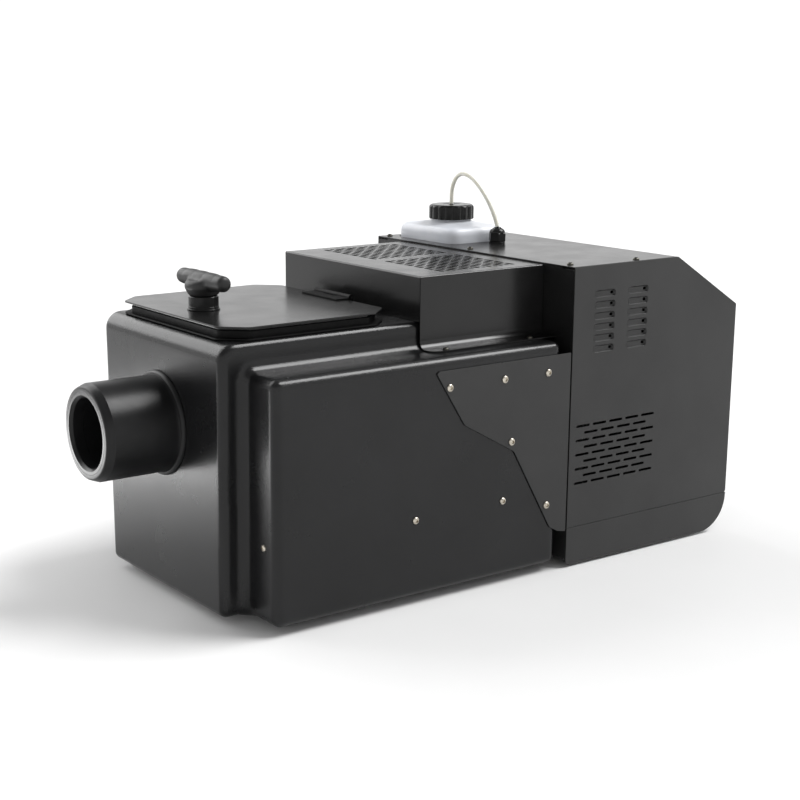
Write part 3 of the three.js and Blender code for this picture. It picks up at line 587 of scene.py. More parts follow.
def net(field, xs, ys, zs):
    """The zero surface of a distance field over a grid: a vertex in each crossed cell, joined by quads."""
    axes = [np.asarray(a, float) for a in (xs, ys, zs)]
    inside = field(np.stack(np.meshgrid(*axes, indexing="ij"), -1)) < 0
    cells = [len(a) - 1 for a in axes]
    corners = [
        inside[i:i + cells[0], j:j + cells[1], k:k + cells[2]]
        for i in (0, 1) for j in (0, 1) for k in (0, 1)
    ]
    total = np.sum(corners, axis=0)
    crossed = (total > 0) & (total < len(corners))
    index = np.full(crossed.shape, -1)
    index[crossed] = np.arange(crossed.sum())
    where = np.argwhere(crossed)
    low = np.stack([axes[a][where[:, a]] for a in range(3)], -1)
    high = np.stack([axes[a][where[:, a] + 1] for a in range(3)], -1)
    points = (low + high) / 2
    for _ in range(12):
        distance = field(points)
        slope = gradient(field, points)
        points = np.clip(points - distance[:, None] * slope, low, high)
    faces = []
    for axis in range(3):
        other = [a for a in range(3) if a != axis]
        first = np.take(inside, np.arange(cells[axis]), axis)
        second = np.take(inside, np.arange(1, cells[axis] + 1), axis)
        for here in np.argwhere(first != second):
            if any(here[a] == 0 or here[a] == cells[a] for a in other):
                continue
            ring = []
            for du, dv in ((-1, -1), (0, -1), (0, 0), (-1, 0)):
                cell = here.copy()
                cell[other[0]] += du
                cell[other[1]] += dv
                ring.append(int(index[tuple(cell)]))
            faces.append(ring)
    return points, faces


def gradient(field, points, step=0.05):
    slopes = []
    for axis in range(3):
        shift = np.zeros(3)
        shift[axis] = step
        slopes.append((field(points + shift) - field(points - shift)) / (2 * step))
    slope = np.stack(slopes, -1)
    return slope / np.maximum(np.sum(slope**2, -1, keepdims=True), 0.05)


def rounded_meet(a, b, radius):
    """The overlap of two distance fields, with the edge between them rounded."""
    outside = np.hypot(np.maximum(a + radius, 0), np.maximum(b + radius, 0))
    return np.minimum(-radius, np.maximum(a, b)) + outside


def filleted_join(a, b, radius):
    """Two distance fields joined with a fillet between them."""
    within = np.hypot(np.maximum(radius - a, 0), np.maximum(radius - b, 0))
    return np.maximum(radius, np.minimum(a, b)) - within


def grid_line(low, high, fine, coarse, features):
    """Grid places from low to high, finely spaced within reach of each (place, reach) feature."""
    places = [low]
    while places[-1] < high:
        near = any(abs(places[-1] - place) <= reach for place, reach in features)
        step = fine if near else coarse
        ahead = [place - reach for place, reach in features if place - reach > places[-1] + 1e-6]
        if not near and ahead:
            step = min(step, max(min(ahead) - places[-1], fine))
        places.append(places[-1] + step)
    return places


def net_mesh(points, faces):
    bm = bmesh.new()
    verts = [bm.verts.new(p) for p in points]
    for ring in faces:
        if len(set(ring)) == 4:
            bm.faces.new([verts[i] for i in ring])
    bmesh.ops.recalc_face_normals(bm, faces=bm.faces)
    return bm


def plain_object(name, bm):
    """A mesh object in millimetres, used to cut another."""
    bmesh.ops.recalc_face_normals(bm, faces=bm.faces)
    mesh = bpy.data.meshes.new(name)
    bm.to_mesh(mesh)
    bm.free()
    obj = bpy.data.objects.new(name, mesh)
    bpy.context.scene.collection.objects.link(obj)
    return obj


def carved(bm, *tools):
    """A closed body with other closed bodies cut out of it, one after the other."""
    base = plain_object("carving", bm)
    cutters = [plain_object("cutter", tool) for tool in tools]
    for cutter in cutters:
        cut = base.modifiers.new("cut", "BOOLEAN")
        cut.operation = "DIFFERENCE"
        cut.solver = "EXACT"
        cut.object = cutter
    evaluated = base.evaluated_get(bpy.context.evaluated_depsgraph_get())
    result = bmesh.new()
    result.from_mesh(evaluated.to_mesh())
    evaluated.to_mesh_clear()
    for obj in [base, *cutters]:
        bpy.data.objects.remove(obj)
    return result


# ---- Ice tank

TANK_STEP = 30
TANK_LEDGE = 280
TANK_HALF_TOP = 136
TANK_HALF_BOTTOM = 131.5
TANK_WALL = 5


def tank_field(points, draw_in=0.0):
    """Distance from the tank's outside, or from its cavity when it is drawn in by the wall."""
    top_edge, back_edge, side_edge, floor_edge = 20, 6, 9, 9
    ledge_edge, wide_back, wide_side, wide_floor, hollow = 10, 8, 10, 12, 13
    x, y, z = points[..., 0], points[..., 1], points[..., 2]
    bottom, top = TANK_Z
    share = (z - bottom) / (top - bottom)
    front, back = -y + draw_in, y - TANK_Y[1] + draw_in
    floor = bottom - z + draw_in
    half = TANK_HALF_BOTTOM + (TANK_HALF_TOP - TANK_HALF_BOTTOM) * share
    upper = rounded_meet(front, z - top + draw_in, top_edge)
    upper = rounded_meet(rounded_meet(upper, floor, floor_edge), back, back_edge)
    upper = rounded_meet(upper, np.abs(x) - half + draw_in, side_edge)
    wide = rounded_meet(TANK_STEP - y + draw_in, z - TANK_LEDGE + draw_in, ledge_edge)
    wide = rounded_meet(rounded_meet(wide, floor, wide_floor), back, wide_back)
    wide = rounded_meet(wide, np.abs(x) - TANK_X[1] + draw_in, wide_side)
    return filleted_join(upper, wide, hollow)


def make_tank(m):
    """The shell, with its cavity, lid mouth, fan holes, drain, outlet and fog pipe hole cut out."""
    fine, coarse, room, cavity_step = 2.6, 24, 5, 7.5
    corners = [(-TANK_X[1], 16), (-134, 24), (134, 24), (TANK_X[1], 16)]
    xs = grid_line(TANK_X[0] - room, TANK_X[1] + room, fine, 22, corners)
    edges = [(6, 22), (36, 22), (TANK_Y[1] - 2, 10)]
    ys = grid_line(-room, TANK_Y[1] + room, fine, coarse, edges)
    edges = [(14, 14), (TANK_LEDGE + 2, 18), (TANK_Z[1] - 8, 20)]
    zs = grid_line(TANK_Z[0] - room, TANK_Z[1] + room, fine, coarse, edges)
    outside = net_mesh(*net(tank_field, xs, ys, zs))
    grid = [np.arange(*ends, cavity_step) for ends in ((-190, 194), (0, 430), (9, 316))]
    cavity = net_mesh(*net(lambda p: tank_field(p, TANK_WALL), *grid))
    mouth_x, mouth_y = (-105, 105), (40, 204)
    fan_x, fan_y, fan_hole = 63, 363, 51
    roof, floor = (290, 330), (0, 20)
    holes = bmesh.new()
    slab(holes, rectangle(*mouth_x, *mouth_y, 12), [], *roof, on_top, 0.5)
    for side in SIDES.values():
        slab(holes, circle(side * fan_x, fan_y, fan_hole, 48), [], *roof, on_top, 0.5)
    slab(holes, circle(0, 330, 9.5, 24), [], *floor, on_top, 0.2)
    slab(holes, circle(0, middle(NOZZLE_Z), 48.3, 64), [], -20, 20, on_back, 0.5)
    slab(holes, circle(30, 155, 9.3, 24), [], 410, 440, on_back, 0.2)
    tank = carved(outside, cavity, holes)
    piece("tank_shell", tank, m["moulded"], replaces=["ice_tank"], smooth=50)


def make_nozzle(m):
    """The outlet pipe: a welded collar, a straight barrel, a chamfered lip turned in rings, and the bore."""
    tip = -NOZZLE_Y[0]
    radius = NOZZLE_X[1]
    bore, spigot, depth = 38.9, 48, NOZZLE_Y[1]
    bead = 4.6
    turns = [math.radians(9 * i) for i in range(10)]
    weld = [(radius + bead * math.cos(a) ** 0.8, 0.35 + bead * math.sin(a)) for a in turns]
    chamfer = [
        (0, 9.4), (0.35, 8.8), (1.2, 6.4), (1.5, 6.1), (2.3, 3.4), (2.6, 3.1), (3.4, 1.0), (4.2, 0.35),
        (5.4, 0), (8.6, 0), (8.9, 0.2), (9.2, 0),
    ]
    lip = [(radius - inset, tip - back) for inset, back in chamfer]
    lip += [(bore + out, tip - back) for out, back in ((3.4, 0), (2.9, 0.3), (0.6, 3.0), (0, 4.2))]
    rings = [(bore, tip - 16), (bore + 0.3, tip - 16.5), (bore + 0.3, tip - 40), (bore, -depth)]
    bm = bmesh.new()
    profile = [(spigot, -depth), (spigot, 0.35), *weld, (radius, 9), (radius, tip - 40), *lip, *rings]
    turned(bm, profile, aim((0, -1, 0), (0, 0, middle(NOZZLE_Z))), 128)
    piece("nozzle_pipe", bm, m["nozzle"], replaces=["outlet_nozzle"], smooth=30)


# ---- Lid, its frame and the latch

LID_HALF = LID_X[1]
LATCH_Y = middle(COLLAR_Y)


def lid_outline(inset, radius):
    u, front, back = LID_HALF - inset, LID_Y[0] + inset, LID_Y[1] - inset
    cut_x, cut_y = 24, 26
    corners = [(-u, front + cut_y), (-u + cut_x, front), (u - cut_x, front), (u, front + cut_y)]
    corners += [(u, back - cut_y), (u - cut_x, back), (-u + cut_x, back), (-u, back - cut_y)]
    return rounded([(*corner, radius) for corner in corners], 8)


def make_lid(m):
    seat = TANK_Z[1] + 0.3
    _, _, (_, frame_top) = span("lid_frame")
    bm = bmesh.new()
    slab(bm, lid_outline(0, 10), [lid_outline(13, 8)], seat, seat + 1.8, on_top, 0.5)
    slab(bm, lid_outline(6, 9), [lid_outline(13, 8)], seat + 1, frame_top, on_top, 0.5)
    slab(bm, rectangle(-36, 36, LID_Y[1] - 6, 241, 3), [], seat, seat + 1.8, on_top, 0.4)
    # The seat is coated metal; its near-black finish is painted shade for the dark band under the lid.
    piece("lid_seat", bm, m["shade"], replaces=["lid_frame"])

    bm = bmesh.new()
    slab(bm, lid_outline(7, 9), [lid_outline(12, 8)], frame_top + 0.3, LID_Z[0] - 0.3, on_top, 1.0)
    piece("lid_seal", bm, m["rubber"], replaces=["lid_gasket"])

    bm = bmesh.new()
    slab(bm, lid_outline(0, 12), [circle(0, LATCH_Y, 6.3, 32)], *LID_Z, on_top, 0.55)
    piece("lid_plate", bm, m["coat"], "lid", ["ice_lid"])

    # The hinge leaves are coated metal; their near-black finish is painted shade, so only a thin light line
    # shows.
    for node in ("hinge_leaf_lid", "hinge_leaf_fixed"):
        dress(node, m["shade"], 0.3)
    dress("hinge_pin", m["coat"], 0.2)
    make_latch(m)


def rivet_head(bm, matrix, radius, height):
    dome = [(radius * math.cos(a), height * math.sin(a)) for a in (math.radians(15 * i) for i in range(6))]
    turned(bm, [(0, -0.2), (radius, -0.2), *dome, (0, height)], matrix, 20)


def make_latch(m):
    base, top = COLLAR_Z
    radius = COLLAR_X[1]
    bm = bmesh.new()
    profile = rounded([
        (7.5, base, 0.2), (radius - 0.5, base, 0.3), (radius - 0.5, base + 1.2, 0.5),
        (17.4, base + 1.5, 0.2), (17.4, base + 3.6, 0.3), (17.0, base + 3.9, 0.2),
        (17.0, top - 0.9, 0.6), (16.2, top, 0.4), (7.5, top, 0.3),
    ], 20)
    turned(bm, [(p.x, p.y) for p in profile], aim((0, 0, 1), (0, LATCH_Y, 0)), 64)
    piece("latch_housing", bm, m["gloss"], "lid", ["latch_collar"], 30)

    (_, half), _, (low, high) = span("t_handle")
    axis = high - 10
    foot = COLLAR_Z[1] + 0.3
    thickness, end_taper, finger = 10, 1.6, 22
    neck_radius, flare = 16, 5

    def handle_field(points):
        """A bar with finger ridges along its top, on a neck that flares up into it."""
        x, y, z = points[..., 0], points[..., 1] - LATCH_Y, points[..., 2] - axis
        share = np.abs(x) / half
        girth = thickness - end_taper * share**3
        crease = np.abs(np.sin(math.pi * (x - finger / 2) / finger)) ** 0.6
        ridge = 0.6 * (1 - crease) * np.clip(z / 5, 0, 1)
        bar = rounded_meet(np.hypot(y, z) - girth + ridge, np.abs(x) - half, 5.5)
        height = np.clip((z + axis - foot) / 9, 0, 1)
        radius = neck_radius + flare * height**0.8
        neck = np.hypot(x, y) - radius
        neck = rounded_meet(neck, foot - (z + axis), 1.6)
        neck = rounded_meet(neck, z - 2 + 0.25 * np.maximum(np.abs(y) - 8, 0), 5)
        return filleted_join(bar, neck, 2.8)

    xs = np.arange(-half - 3, half + 4, 1.4)
    ys = np.arange(LATCH_Y - 23, LATCH_Y + 24, 1.4)
    zs = np.arange(foot - 2.2, high + 3, 1.3)
    bm = net_mesh(*net(handle_field, xs, ys, zs))
    bmesh.ops.smooth_vert(bm, verts=bm.verts, factor=0.4, use_axis_x=True, use_axis_y=True, use_axis_z=True)
    turned(bm, [(0, low), (6, low), (6, foot + 4), (0, foot + 4)], aim((0, 0, 1), (0, LATCH_Y, 0)), 32)
    piece("handle_grip", bm, m["rubber"], "latch", ["t_handle"], 60)
    dress("latch_cam", m["steel"], 0.4)


# ---- Fan hood

GRILLE_X = (10, 121)
GRILLE_Y = (303, 415)


def grille_slots():
    """Staggered slots over each fan, with half slots at both ends of every second row."""
    rows, count, gap, half = 13, 6, 3.3, 2.9
    pitch = (GRILLE_X[1] - GRILLE_X[0] + gap) / count
    holes = []
    for side in SIDES.values():
        for row in range(rows):
            y = GRILLE_Y[0] + half + row * (GRILLE_Y[1] - GRILLE_Y[0] - 2 * half) / (rows - 1)
            offset = pitch / 2 if row % 2 else 0
            for i in range(-1 if row % 2 else 0, count):
                start = max(GRILLE_X[0] + i * pitch + offset, GRILLE_X[0])
                end = min(GRILLE_X[0] + (i + 1) * pitch - gap + offset, GRILLE_X[1])
                holes.append(slot(*sorted((side * start, side * end)), y, half))
    return holes


def arc(centre, radius, start, end, count=5):
    """Points on an arc in (u, v), angles in degrees."""
    turns = [math.radians(start + (end - start) * i / count) for i in range(count + 1)]
    return [(centre[0] + radius * math.cos(t), centre[1] + radius * math.sin(t)) for t in turns]


def make_hood(m):
    half, flange_half = 140, HOOD_X[1]
    front, back = HOOD_Y
    top, flange_top = HOOD_Z[1], HOOD_Z[0] + SHEET
    fold, sweep = 2.2, 9
    bm = bmesh.new()
    rim = [Vector(p) for p in (
        (-half + fold, front + fold), (half - fold, front + fold), (half - fold, back), (-half + fold, back))]
    flat(bm, [rim] + [counterclockwise(hole) for hole in grille_slots()], top)
    section = arc((half - fold, top - fold), fold, 90, 0)
    section += arc((half + sweep, flange_top + sweep), sweep, 180, 270, 8)
    for side in SIDES.values():
        lines = []
        for index, (x, z) in enumerate(section):
            start = front + (fold if index == 0 else 0.5)
            lines.append([bm.verts.new((side * x, y, z)) for y in (start, back)])
        strip(bm, lines)
        corner = arc((flange_half - 14, front + 14.5), 14, -90, 0, 6)
        inner = lines[-1]
        tip = [bm.verts.new((side * x, y, flange_top)) for x, y in corner]
        end = bm.verts.new((side * flange_half, back, flange_top))
        bm.faces.new([*inner[:1], *tip, end, inner[1]])
    panel = arc((front + fold, top - fold), fold, 90, 180)
    panel.append((front, TANK_Z[1] + 0.4))
    lines = []
    for index, (y, z) in enumerate(panel):
        reach = half - (fold if index == 0 else 0.7)
        lines.append([bm.verts.new((x, y, z)) for x in (-reach, reach)])
    strip(bm, lines)
    bmesh.ops.remove_doubles(bm, verts=bm.verts, dist=0.01)
    face_away(bm, (0, 350, 180))
    piece("hood_shell", bm, m["coat"], replaces=["fan_hood"], sheet=SHEET, smooth=34)

    for name, side in SIDES.items():
        # The fans are black plastic, made darker still with the painted-shade finish so the grille's slots
        # read as shade.
        dress(f"fan_frame_{name}", m["shade"], 0.5)
        dress(f"fan_rotor_{name}", m["shade"], 0.3)
        (x0, x1), (y0, y1), (_, hub_top) = span(f"fan_rotor_{name}")
        bm = bmesh.new()
        place = (middle((x0, x1)), middle((y0, y1)), hub_top)
        turned(bm, [(0, -0.3), (7, -0.3), (7, 0.2), (6.6, 0.4), (0, 0.4)], aim((0, 0, 1), place), 40)
        piece(f"fan_hub_label_{name}", bm, m["paper"], f"fan_{name}")


# ---- Screws


def cross(angle):
    """The outline of a cross-shaped recess."""
    a = abs((angle + math.pi / 4) % (math.pi / 2) - math.pi / 4)
    return min(1 / math.cos(a), 0.24 / max(math.sin(a), 1e-3))


def screw_head(bm, matrix, radius, height, drive):
    """A domed head with a recess for its driver, on a thin washer face."""
    dome = [
        (radius * math.cos(a), height * (0.22 + 0.78 * math.sin(a)))
        for a in (math.radians(10 * i) for i in range(7))
    ]
    reach = 0.5 * radius if drive is hexagon else 0.6 * radius
    dome = [p for p in dome if p[0] > reach + 0.15]
    floor = height * 0.35
    recess = [(reach, height * 0.97, drive), (reach * 0.9, floor, drive), (0, floor)]
    profile = [(0, -0.3), (radius, -0.3), *dome, *recess]
    turned(bm, profile, matrix, 48)


PLATE_SCREWS = ((259.7, 246), (339.7, 246), (406, 246), (352, 171), (408.6, 85.4))
TANK_SCREWS = ((341.9, 101.2), (214.9, 99.8))
ROOF_SCREWS = ((-184, 455.5), (-12, 455), (172, 455), (183, 552), (-186, 585))


def make_screws(m):
    for name, side in SIDES.items():
        outwards = (side, 0, 0)
        bm = bmesh.new()
        for y, z in PLATE_SCREWS:
            screw_head(bm, aim(outwards, (side * WALL, y, z)), 4.4, 2.5, hexagon)
        for y, z in TANK_SCREWS:
            screw_head(bm, aim(outwards, (side * TANK_X[1], y, z)), 4.2, 2.6, hexagon)
        screw_head(bm, aim((0, -1, 0), (side * 169, TANK_STEP, 96)), 4.0, 2.4, hexagon)
        piece(f"side_screws_{name}", bm, m["screw"])
        bm = bmesh.new()
        for y in (281, 407):
            screw_head(bm, aim((0, 0, 1), (side * 158.5, y, HOOD_Z[0] + SHEET)), 3.6, 2.2, hexagon)
        piece(f"flange_screws_{name}", bm, m["dark_screw"])
    bm = bmesh.new()
    top = COVER_Z[1]
    for x, y in ROOF_SCREWS:
        screw_head(bm, aim((0, 0, 1), (x, y, top)), 3.9, 2.6, cross)
    down = Vector((0, math.sin(SLOPE), math.cos(SLOPE)))
    for side in SIDES.values():
        y = BACK - 16
        z = SLOPE_END[1] + 16 * math.tan(SLOPE)
        screw_head(bm, aim(down, (side * 184, y, z)), 3.9, 2.6, cross)
        for z in (70, 270):
            screw_head(bm, aim((0, 1, 0), (side * 183, BACK - 0.3, z)), 3.9, 2.4, cross)
    piece("cover_screws", bm, m["dark_screw"])


# ---- Side plates and housing


def make_side_plates(m):
    back = PLATE_Y[1]
    top = PLATE_Z[1]
    outline = rounded([
        (PLATE_Y[0], top - 2.5, 2), (245, top, 2), (back, top, 1), (back, PLATE_Z[0], 1),
        (428, 49.6, 3), (415, 57, 6), (356, 159, 12), (282, 200, 12),
    ])
    for name, side in SIDES.items():
        bm = bmesh.new()
        slab(bm, outline, [], WALL - SHEET, WALL, on_side(side), 0.45)
        piece(f"tie_plate_{name}", bm, m["side_coat"], replaces=[f"side_plate_{name}"])


LOUVRE = {"columns": (476, 530.5), "length": 33.5, "height": 8.7, "top": 331.5, "pitch": 13.2, "count": 6}


def louvre_places():
    for y in LOUVRE["columns"]:
        for i in range(LOUVRE["count"]):
            yield y, LOUVRE["top"] - i * LOUVRE["pitch"]


def louvre(bm, side, start, z):
    """A pocket pressed into the sheet between sloping lips, with a hole at its rear upper corner."""
    end, half = start + LOUVRE["length"], LOUVRE["height"] / 2
    outline = rectangle(start, end, z - half, z + half, half * 0.9, 18)
    steps = [(0, 0), (0.25, 0.4), (1.3, 2.1)]
    hole = counterclockwise(rectangle(end - 7, end - 2.4, z - 1.4, z + 2.2, 0.8, 30))

    def level(points, depth):
        return [bm.verts.new((side * (WALL - 0.05 - depth), p.x, p.y)) for p in points]

    floor = shifted(outline, steps[-1][0])
    for gauge in (0, 0.9):
        rings = [level(shifted(outline, inset), depth + gauge) for inset, depth in steps]
        for below, above in zip(rings, rings[1:]):
            band(bm, below, above)
        rim = level(hole, steps[-1][1] + gauge)
        fill(bm, [floor, hole], [rings[-1], rim])
        if gauge == 0:
            front_rings, front_rim = rings, rim
    band(bm, front_rings[0], rings[0])
    band(bm, front_rim, rim)


def vent_slots():
    """Nine staggered rows of round-ended slots, five and four to a row."""
    front, top, pitch, drop, length, half = 453, 174.5, 27.1, 8.8, 21.8, 1.45
    holes = []
    for row in range(9):
        odd = row % 2
        for i in range(5 - odd):
            y = front + pitch * (i + odd / 2)
            holes.append(slot(y, y + length, top - row * drop, half))
    return holes


def make_side_covers(m):
    outline = rounded([
        (COVER_Y[0], SEAM + 0.3, 0.8), (BACK, SEAM + 0.3, 3), (*SLOPE_END, 2), (*SLOPE_TOP, 2),
        (COVER_Y[0], COVER_Z[1], 0.8),
    ])
    half = LOUVRE["height"] / 2
    pockets = [
        rectangle(y, y + LOUVRE["length"], z - half, z + half, half * 0.9, 18) for y, z in louvre_places()
    ]
    for name, side in SIDES.items():
        bm = bmesh.new()
        slab(bm, outline, pockets + vent_slots(), WALL - SHEET, WALL, on_side(side), 0.4)
        for y, z in louvre_places():
            louvre(bm, side, y, z)
        flange_x = [side * x for x in (WALL - 20, WALL - SHEET)][::side]
        soft_box(bm, flange_x, (COVER_Y[0] + 2, SLOPE_TOP[0] - 6), (361.2, 362.6), 0.3)
        piece(f"cover_{name}", bm, m["side_coat"], replaces=[f"side_cover_{name}"])


def make_top_cover(m):
    """One folded sheet: flat over the bottle and the gland, then down the slope."""
    (x0, x1), (y0, y1), (_, z1) = span("top_cover")
    gap = 0.9  # seam beside each cover
    x0, x1 = x0 + gap, x1 - gap
    bm = bmesh.new()
    fold = 3.0
    setback = fold * math.tan(SLOPE / 2)
    bend = SLOPE_TOP[0] - setback
    rim = [Vector(p) for p in ((x0, y0), (x1, y0), (x1, bend), (x0, bend))]
    bottle_hole = rectangle(BOTTLE_X[0] - 1, BOTTLE_X[1] + 1, BOTTLE_Y[0] - 1, BOTTLE_Y[1] + 1, 16)
    gland_hole = circle(middle(NUT_X), middle(NUT_Y), 8, 32)
    flat(bm, [rim, counterclockwise(bottle_hole), gland_hole], z1)
    path = [
        (bend + fold * math.sin(a), z1 - fold * (1 - math.cos(a))) for a in (SLOPE * i / 4 for i in range(5))
    ]
    end = y1 - 0.6
    path.append((end, z1 - (end - SLOPE_TOP[0]) * math.tan(SLOPE)))
    path.append((end, span("rear_panel")[2][1] + 0.5))
    lines = [[bm.verts.new((x, y, z)) for x in (x0, x1)] for y, z in path]
    strip(bm, lines)
    bmesh.ops.remove_doubles(bm, verts=bm.verts, dist=0.01)
    face_away(bm, (0, 560, 100))
    piece("roof_sheet", bm, m["coat"], replaces=["top_cover"], sheet=SHEET, smooth=30)


def make_base(m):
    """The base pan's side skirts and its floor, which turns up at the back, then the bulkhead and feet."""
    front, back = PAN_Y
    outline = rounded([(front, SEAM, 0.6), (front, PAN_Z[0], 6), (back, PAN_Z[0], 45), (back, SEAM, 0.6)], 5)
    bm = bmesh.new()
    for side in SIDES.values():
        slab(bm, outline, [], WALL - SHEET, WALL, on_side(side), 0.4)
    floor, bend, run, rim = 9.5, 3, 44, SEAM - 2
    crease = run * math.cos(math.atan2(rim - floor, run)) * 0.02
    path = [(front, SEAM - bend), (front, floor + bend)]
    path += arc((front + bend, floor + bend), bend, 180, 270, 4)
    path += [(back - run, floor), (back - run + crease, floor + 0.3), (back, rim)]
    ends = (-WALL + SHEET, WALL - SHEET)
    outer = [[bm.verts.new((x, y, z)) for x in ends] for y, z in path]
    inner = [[bm.verts.new((x, y + 1.2, z + 1.3)) for x in ends] for y, z in path]
    strip(bm, outer)
    strip(bm, inner)
    for side in (0, 1):
        edges = list(zip(outer, inner))
        for (a, b), (c, d) in zip(edges, edges[1:]):
            bm.faces.new((a[side], b[side], d[side], c[side]))
    for end in (0, -1):
        bm.faces.new((*outer[end], *inner[end][::-1]))
    bmesh.ops.remove_doubles(bm, verts=bm.verts, dist=0.001)
    piece("pan_skirts", bm, m["side_coat"], replaces=["base_pan"])
    dress("front_bulkhead", m["coat"], 0.3)
    for node in ("foot_front_left", "foot_front_right", "foot_rear_left", "foot_rear_right"):
        xs, ys, (_, top) = span(node)
        bm = bmesh.new()
        profile = [(0, 1.0), (6.5, 1.0), (7.5, 0), (13, 0), (14.4, 0.6), (15, 2)]
        profile += [(14.2, top - 0.6), (13.6, top), (0, top)]
        turned(bm, profile, aim((0, 0, 1), (middle(xs), middle(ys), 0)), 40)
        piece(f"pad_{node}", bm, m["rubber"], replaces=[node])


# ---- Fluid bottle, cap and gland


def make_bottle(m):
    """A blown bottle: straight walls, a domed shoulder and a threaded neck."""
    centre = Vector((middle(BOTTLE_X), middle(BOTTLE_Y)))
    half = Vector((BOTTLE_X[1] - BOTTLE_X[0], BOTTLE_Y[1] - BOTTLE_Y[0])) / 2
    count = 96
    shoulder = 391

    def ring(bm, inset, z, roundness):
        """A ring of the bottle: a rounded rectangle that turns into a circle as roundness goes to 1."""
        verts = []
        neck = 25.5
        power = 7.0
        for i in range(count):
            angle = 2 * math.pi * (i + 0.5) / count
            c, s = math.cos(angle), math.sin(angle)
            a, b = half.x - inset, half.y - inset
            square = (abs(c / a) ** power + abs(s / b) ** power) ** (-1 / power)
            radius = square * (1 - roundness) + neck * roundness
            verts.append(bm.verts.new((centre.x + radius * c, centre.y + radius * s, z)))
        return verts

    bm = bmesh.new()
    base = BOTTLE_Z[0]
    levels = [(9, base, 0), (3, base + 1, 0), (0.6, base + 5, 0), (0, base + 12, 0), (0.9, base + 60, 0)]
    levels += [(1.3, base + 120, 0), (0.9, base + 190, 0), (0, base + 225, 0), (0, shoulder - 16, 0)]
    turns = [math.radians(15 * i) for i in range(1, 6)]
    levels += [(9 * (1 - math.cos(a)), shoulder - 16 + 10.5 * math.sin(a), 0) for a in turns]
    levels += [(11, shoulder - 4.6, 0.18), (12, shoulder - 3.6, 0.45), (12, shoulder - 2.2, 0.8)]
    levels += [(12, shoulder - 0.6, 0.97), (12, shoulder + 1, 1), (12, CAP_Z[1] - 4, 1)]
    rings = [ring(bm, *level) for level in levels]
    for below, above in zip(rings, rings[1:]):
        band(bm, below, above)
    bm.faces.new(rings[0])
    (x, y), bore = centre, 0.88
    inside = [
        bm.verts.new((x + (v.co.x - x) * bore, y + (v.co.y - y) * bore, v.co.z)) for v in rings[-1]
    ]
    low = [bm.verts.new((v.co.x, v.co.y, shoulder - 1)) for v in inside]
    band(bm, rings[-1], inside)
    band(bm, inside, low)
    bm.faces.new(low)
    piece("bottle_body", bm, m["bottle"], replaces=["fluid_bottle"], smooth=70)

    bm = bmesh.new()
    radius, ribs = CAP_X[1] - middle(CAP_X), 16
    bottom, top = CAP_Z

    def ribbed(angle):
        wave = 0.5 + 0.5 * math.cos(ribs * angle)
        return 1 - 0.055 * (1 - wave**0.45)

    profile = [
        (radius - 3.6, bottom), (radius - 0.6, bottom), (radius, bottom + 0.6, ribbed),
        (radius, top - 4.2, ribbed), (radius - 0.4, top - 2.6, ribbed), (radius - 1.6, top - 1.2),
        (radius - 3.2, top - 0.3), (radius - 5, top),
        (12, top - 0.1), (11, top - 0.5), (6, top - 0.5), (4.6, top - 0.1), (3.1, top - 0.1), (3.1, top - 3),
        (radius - 4, top - 3), (radius - 3.6, top - 4),
    ]
    turned(bm, profile, aim((0, 0, 1), (middle(CAP_X), middle(CAP_Y), 0)), ribs * 12)
    piece("screw_cap", bm, m["gloss"], "cap", ["bottle_cap"], 42)
    dress("dip_tube", m["tube"], 0)
    dress("bottle_tray", m["steel"], 0.3)
    make_gland(m)


def make_gland(m):
    """A cable gland: threaded body and washer below, a hexagonal nut with a smooth dome above."""
    place = aim((0, 0, 1), (middle(NUT_X), middle(NUT_Y), 0))
    bottom, top = NUT_Z
    deck = COVER_Z[1]
    bm = bmesh.new()
    threads = [
        (7.3 + 0.5 * (i % 2), 356 + i * 0.75) for i in range(int((bottom + 4 - 356) / 0.75))
    ]
    turned(bm, [(3.1, 355.5), *threads, (3.1, bottom + 4.2)], place, 40)
    washer = rounded([
        (7.9, deck + 0.1, 0.2), (10.4, deck + 0.1, 0.3),
        (10.4, bottom - 0.15, 0.5), (7.9, bottom - 0.15, 0.2),
    ], 20)
    turned(bm, [(p.x, p.y) for p in washer], place, 48)
    turned(bm, [(7.9, 357), (11, 357, hexagon), (11, 361.5, hexagon), (7.9, 361.5)], place, 48)
    piece("gland_base", bm, m["gloss"], replaces=["gland_body"], smooth=32)

    bm = bmesh.new()
    radius = 11.4
    shoulder = top - 7
    dome = [
        (10.3 * math.cos(a), shoulder + 6.8 * math.sin(a)) for a in (math.radians(10 * i) for i in range(7))
    ]
    profile = [
        (8, bottom), (radius - 0.9, bottom, hexagon), (radius, bottom + 0.9, hexagon),
        (radius, shoulder - 0.9, hexagon), (radius - 0.8, shoulder - 0.1, hexagon), (10.3, shoulder - 0.1),
        *dome[1:], (4.3, top), (3.1, top - 0.2), (3.1, bottom + 3), (8, bottom + 3),
    ]
    turned(bm, profile, place, 96)
    for i in range(10):
        angle = 2 * math.pi * i / 10
        lobe = aim((0.55 * math.cos(angle), 0.55 * math.sin(angle), 0.83), (
            middle(NUT_X) + 7.4 * math.cos(angle), middle(NUT_Y) + 7.4 * math.sin(angle), shoulder + 3.4))
        rivet_head(bm, lobe, 1.7, 0.75)
    piece("gland_cap", bm, m["gloss"], replaces=["gland_nut"], smooth=32)


# ---- Rear panel, sockets, switch and control panel


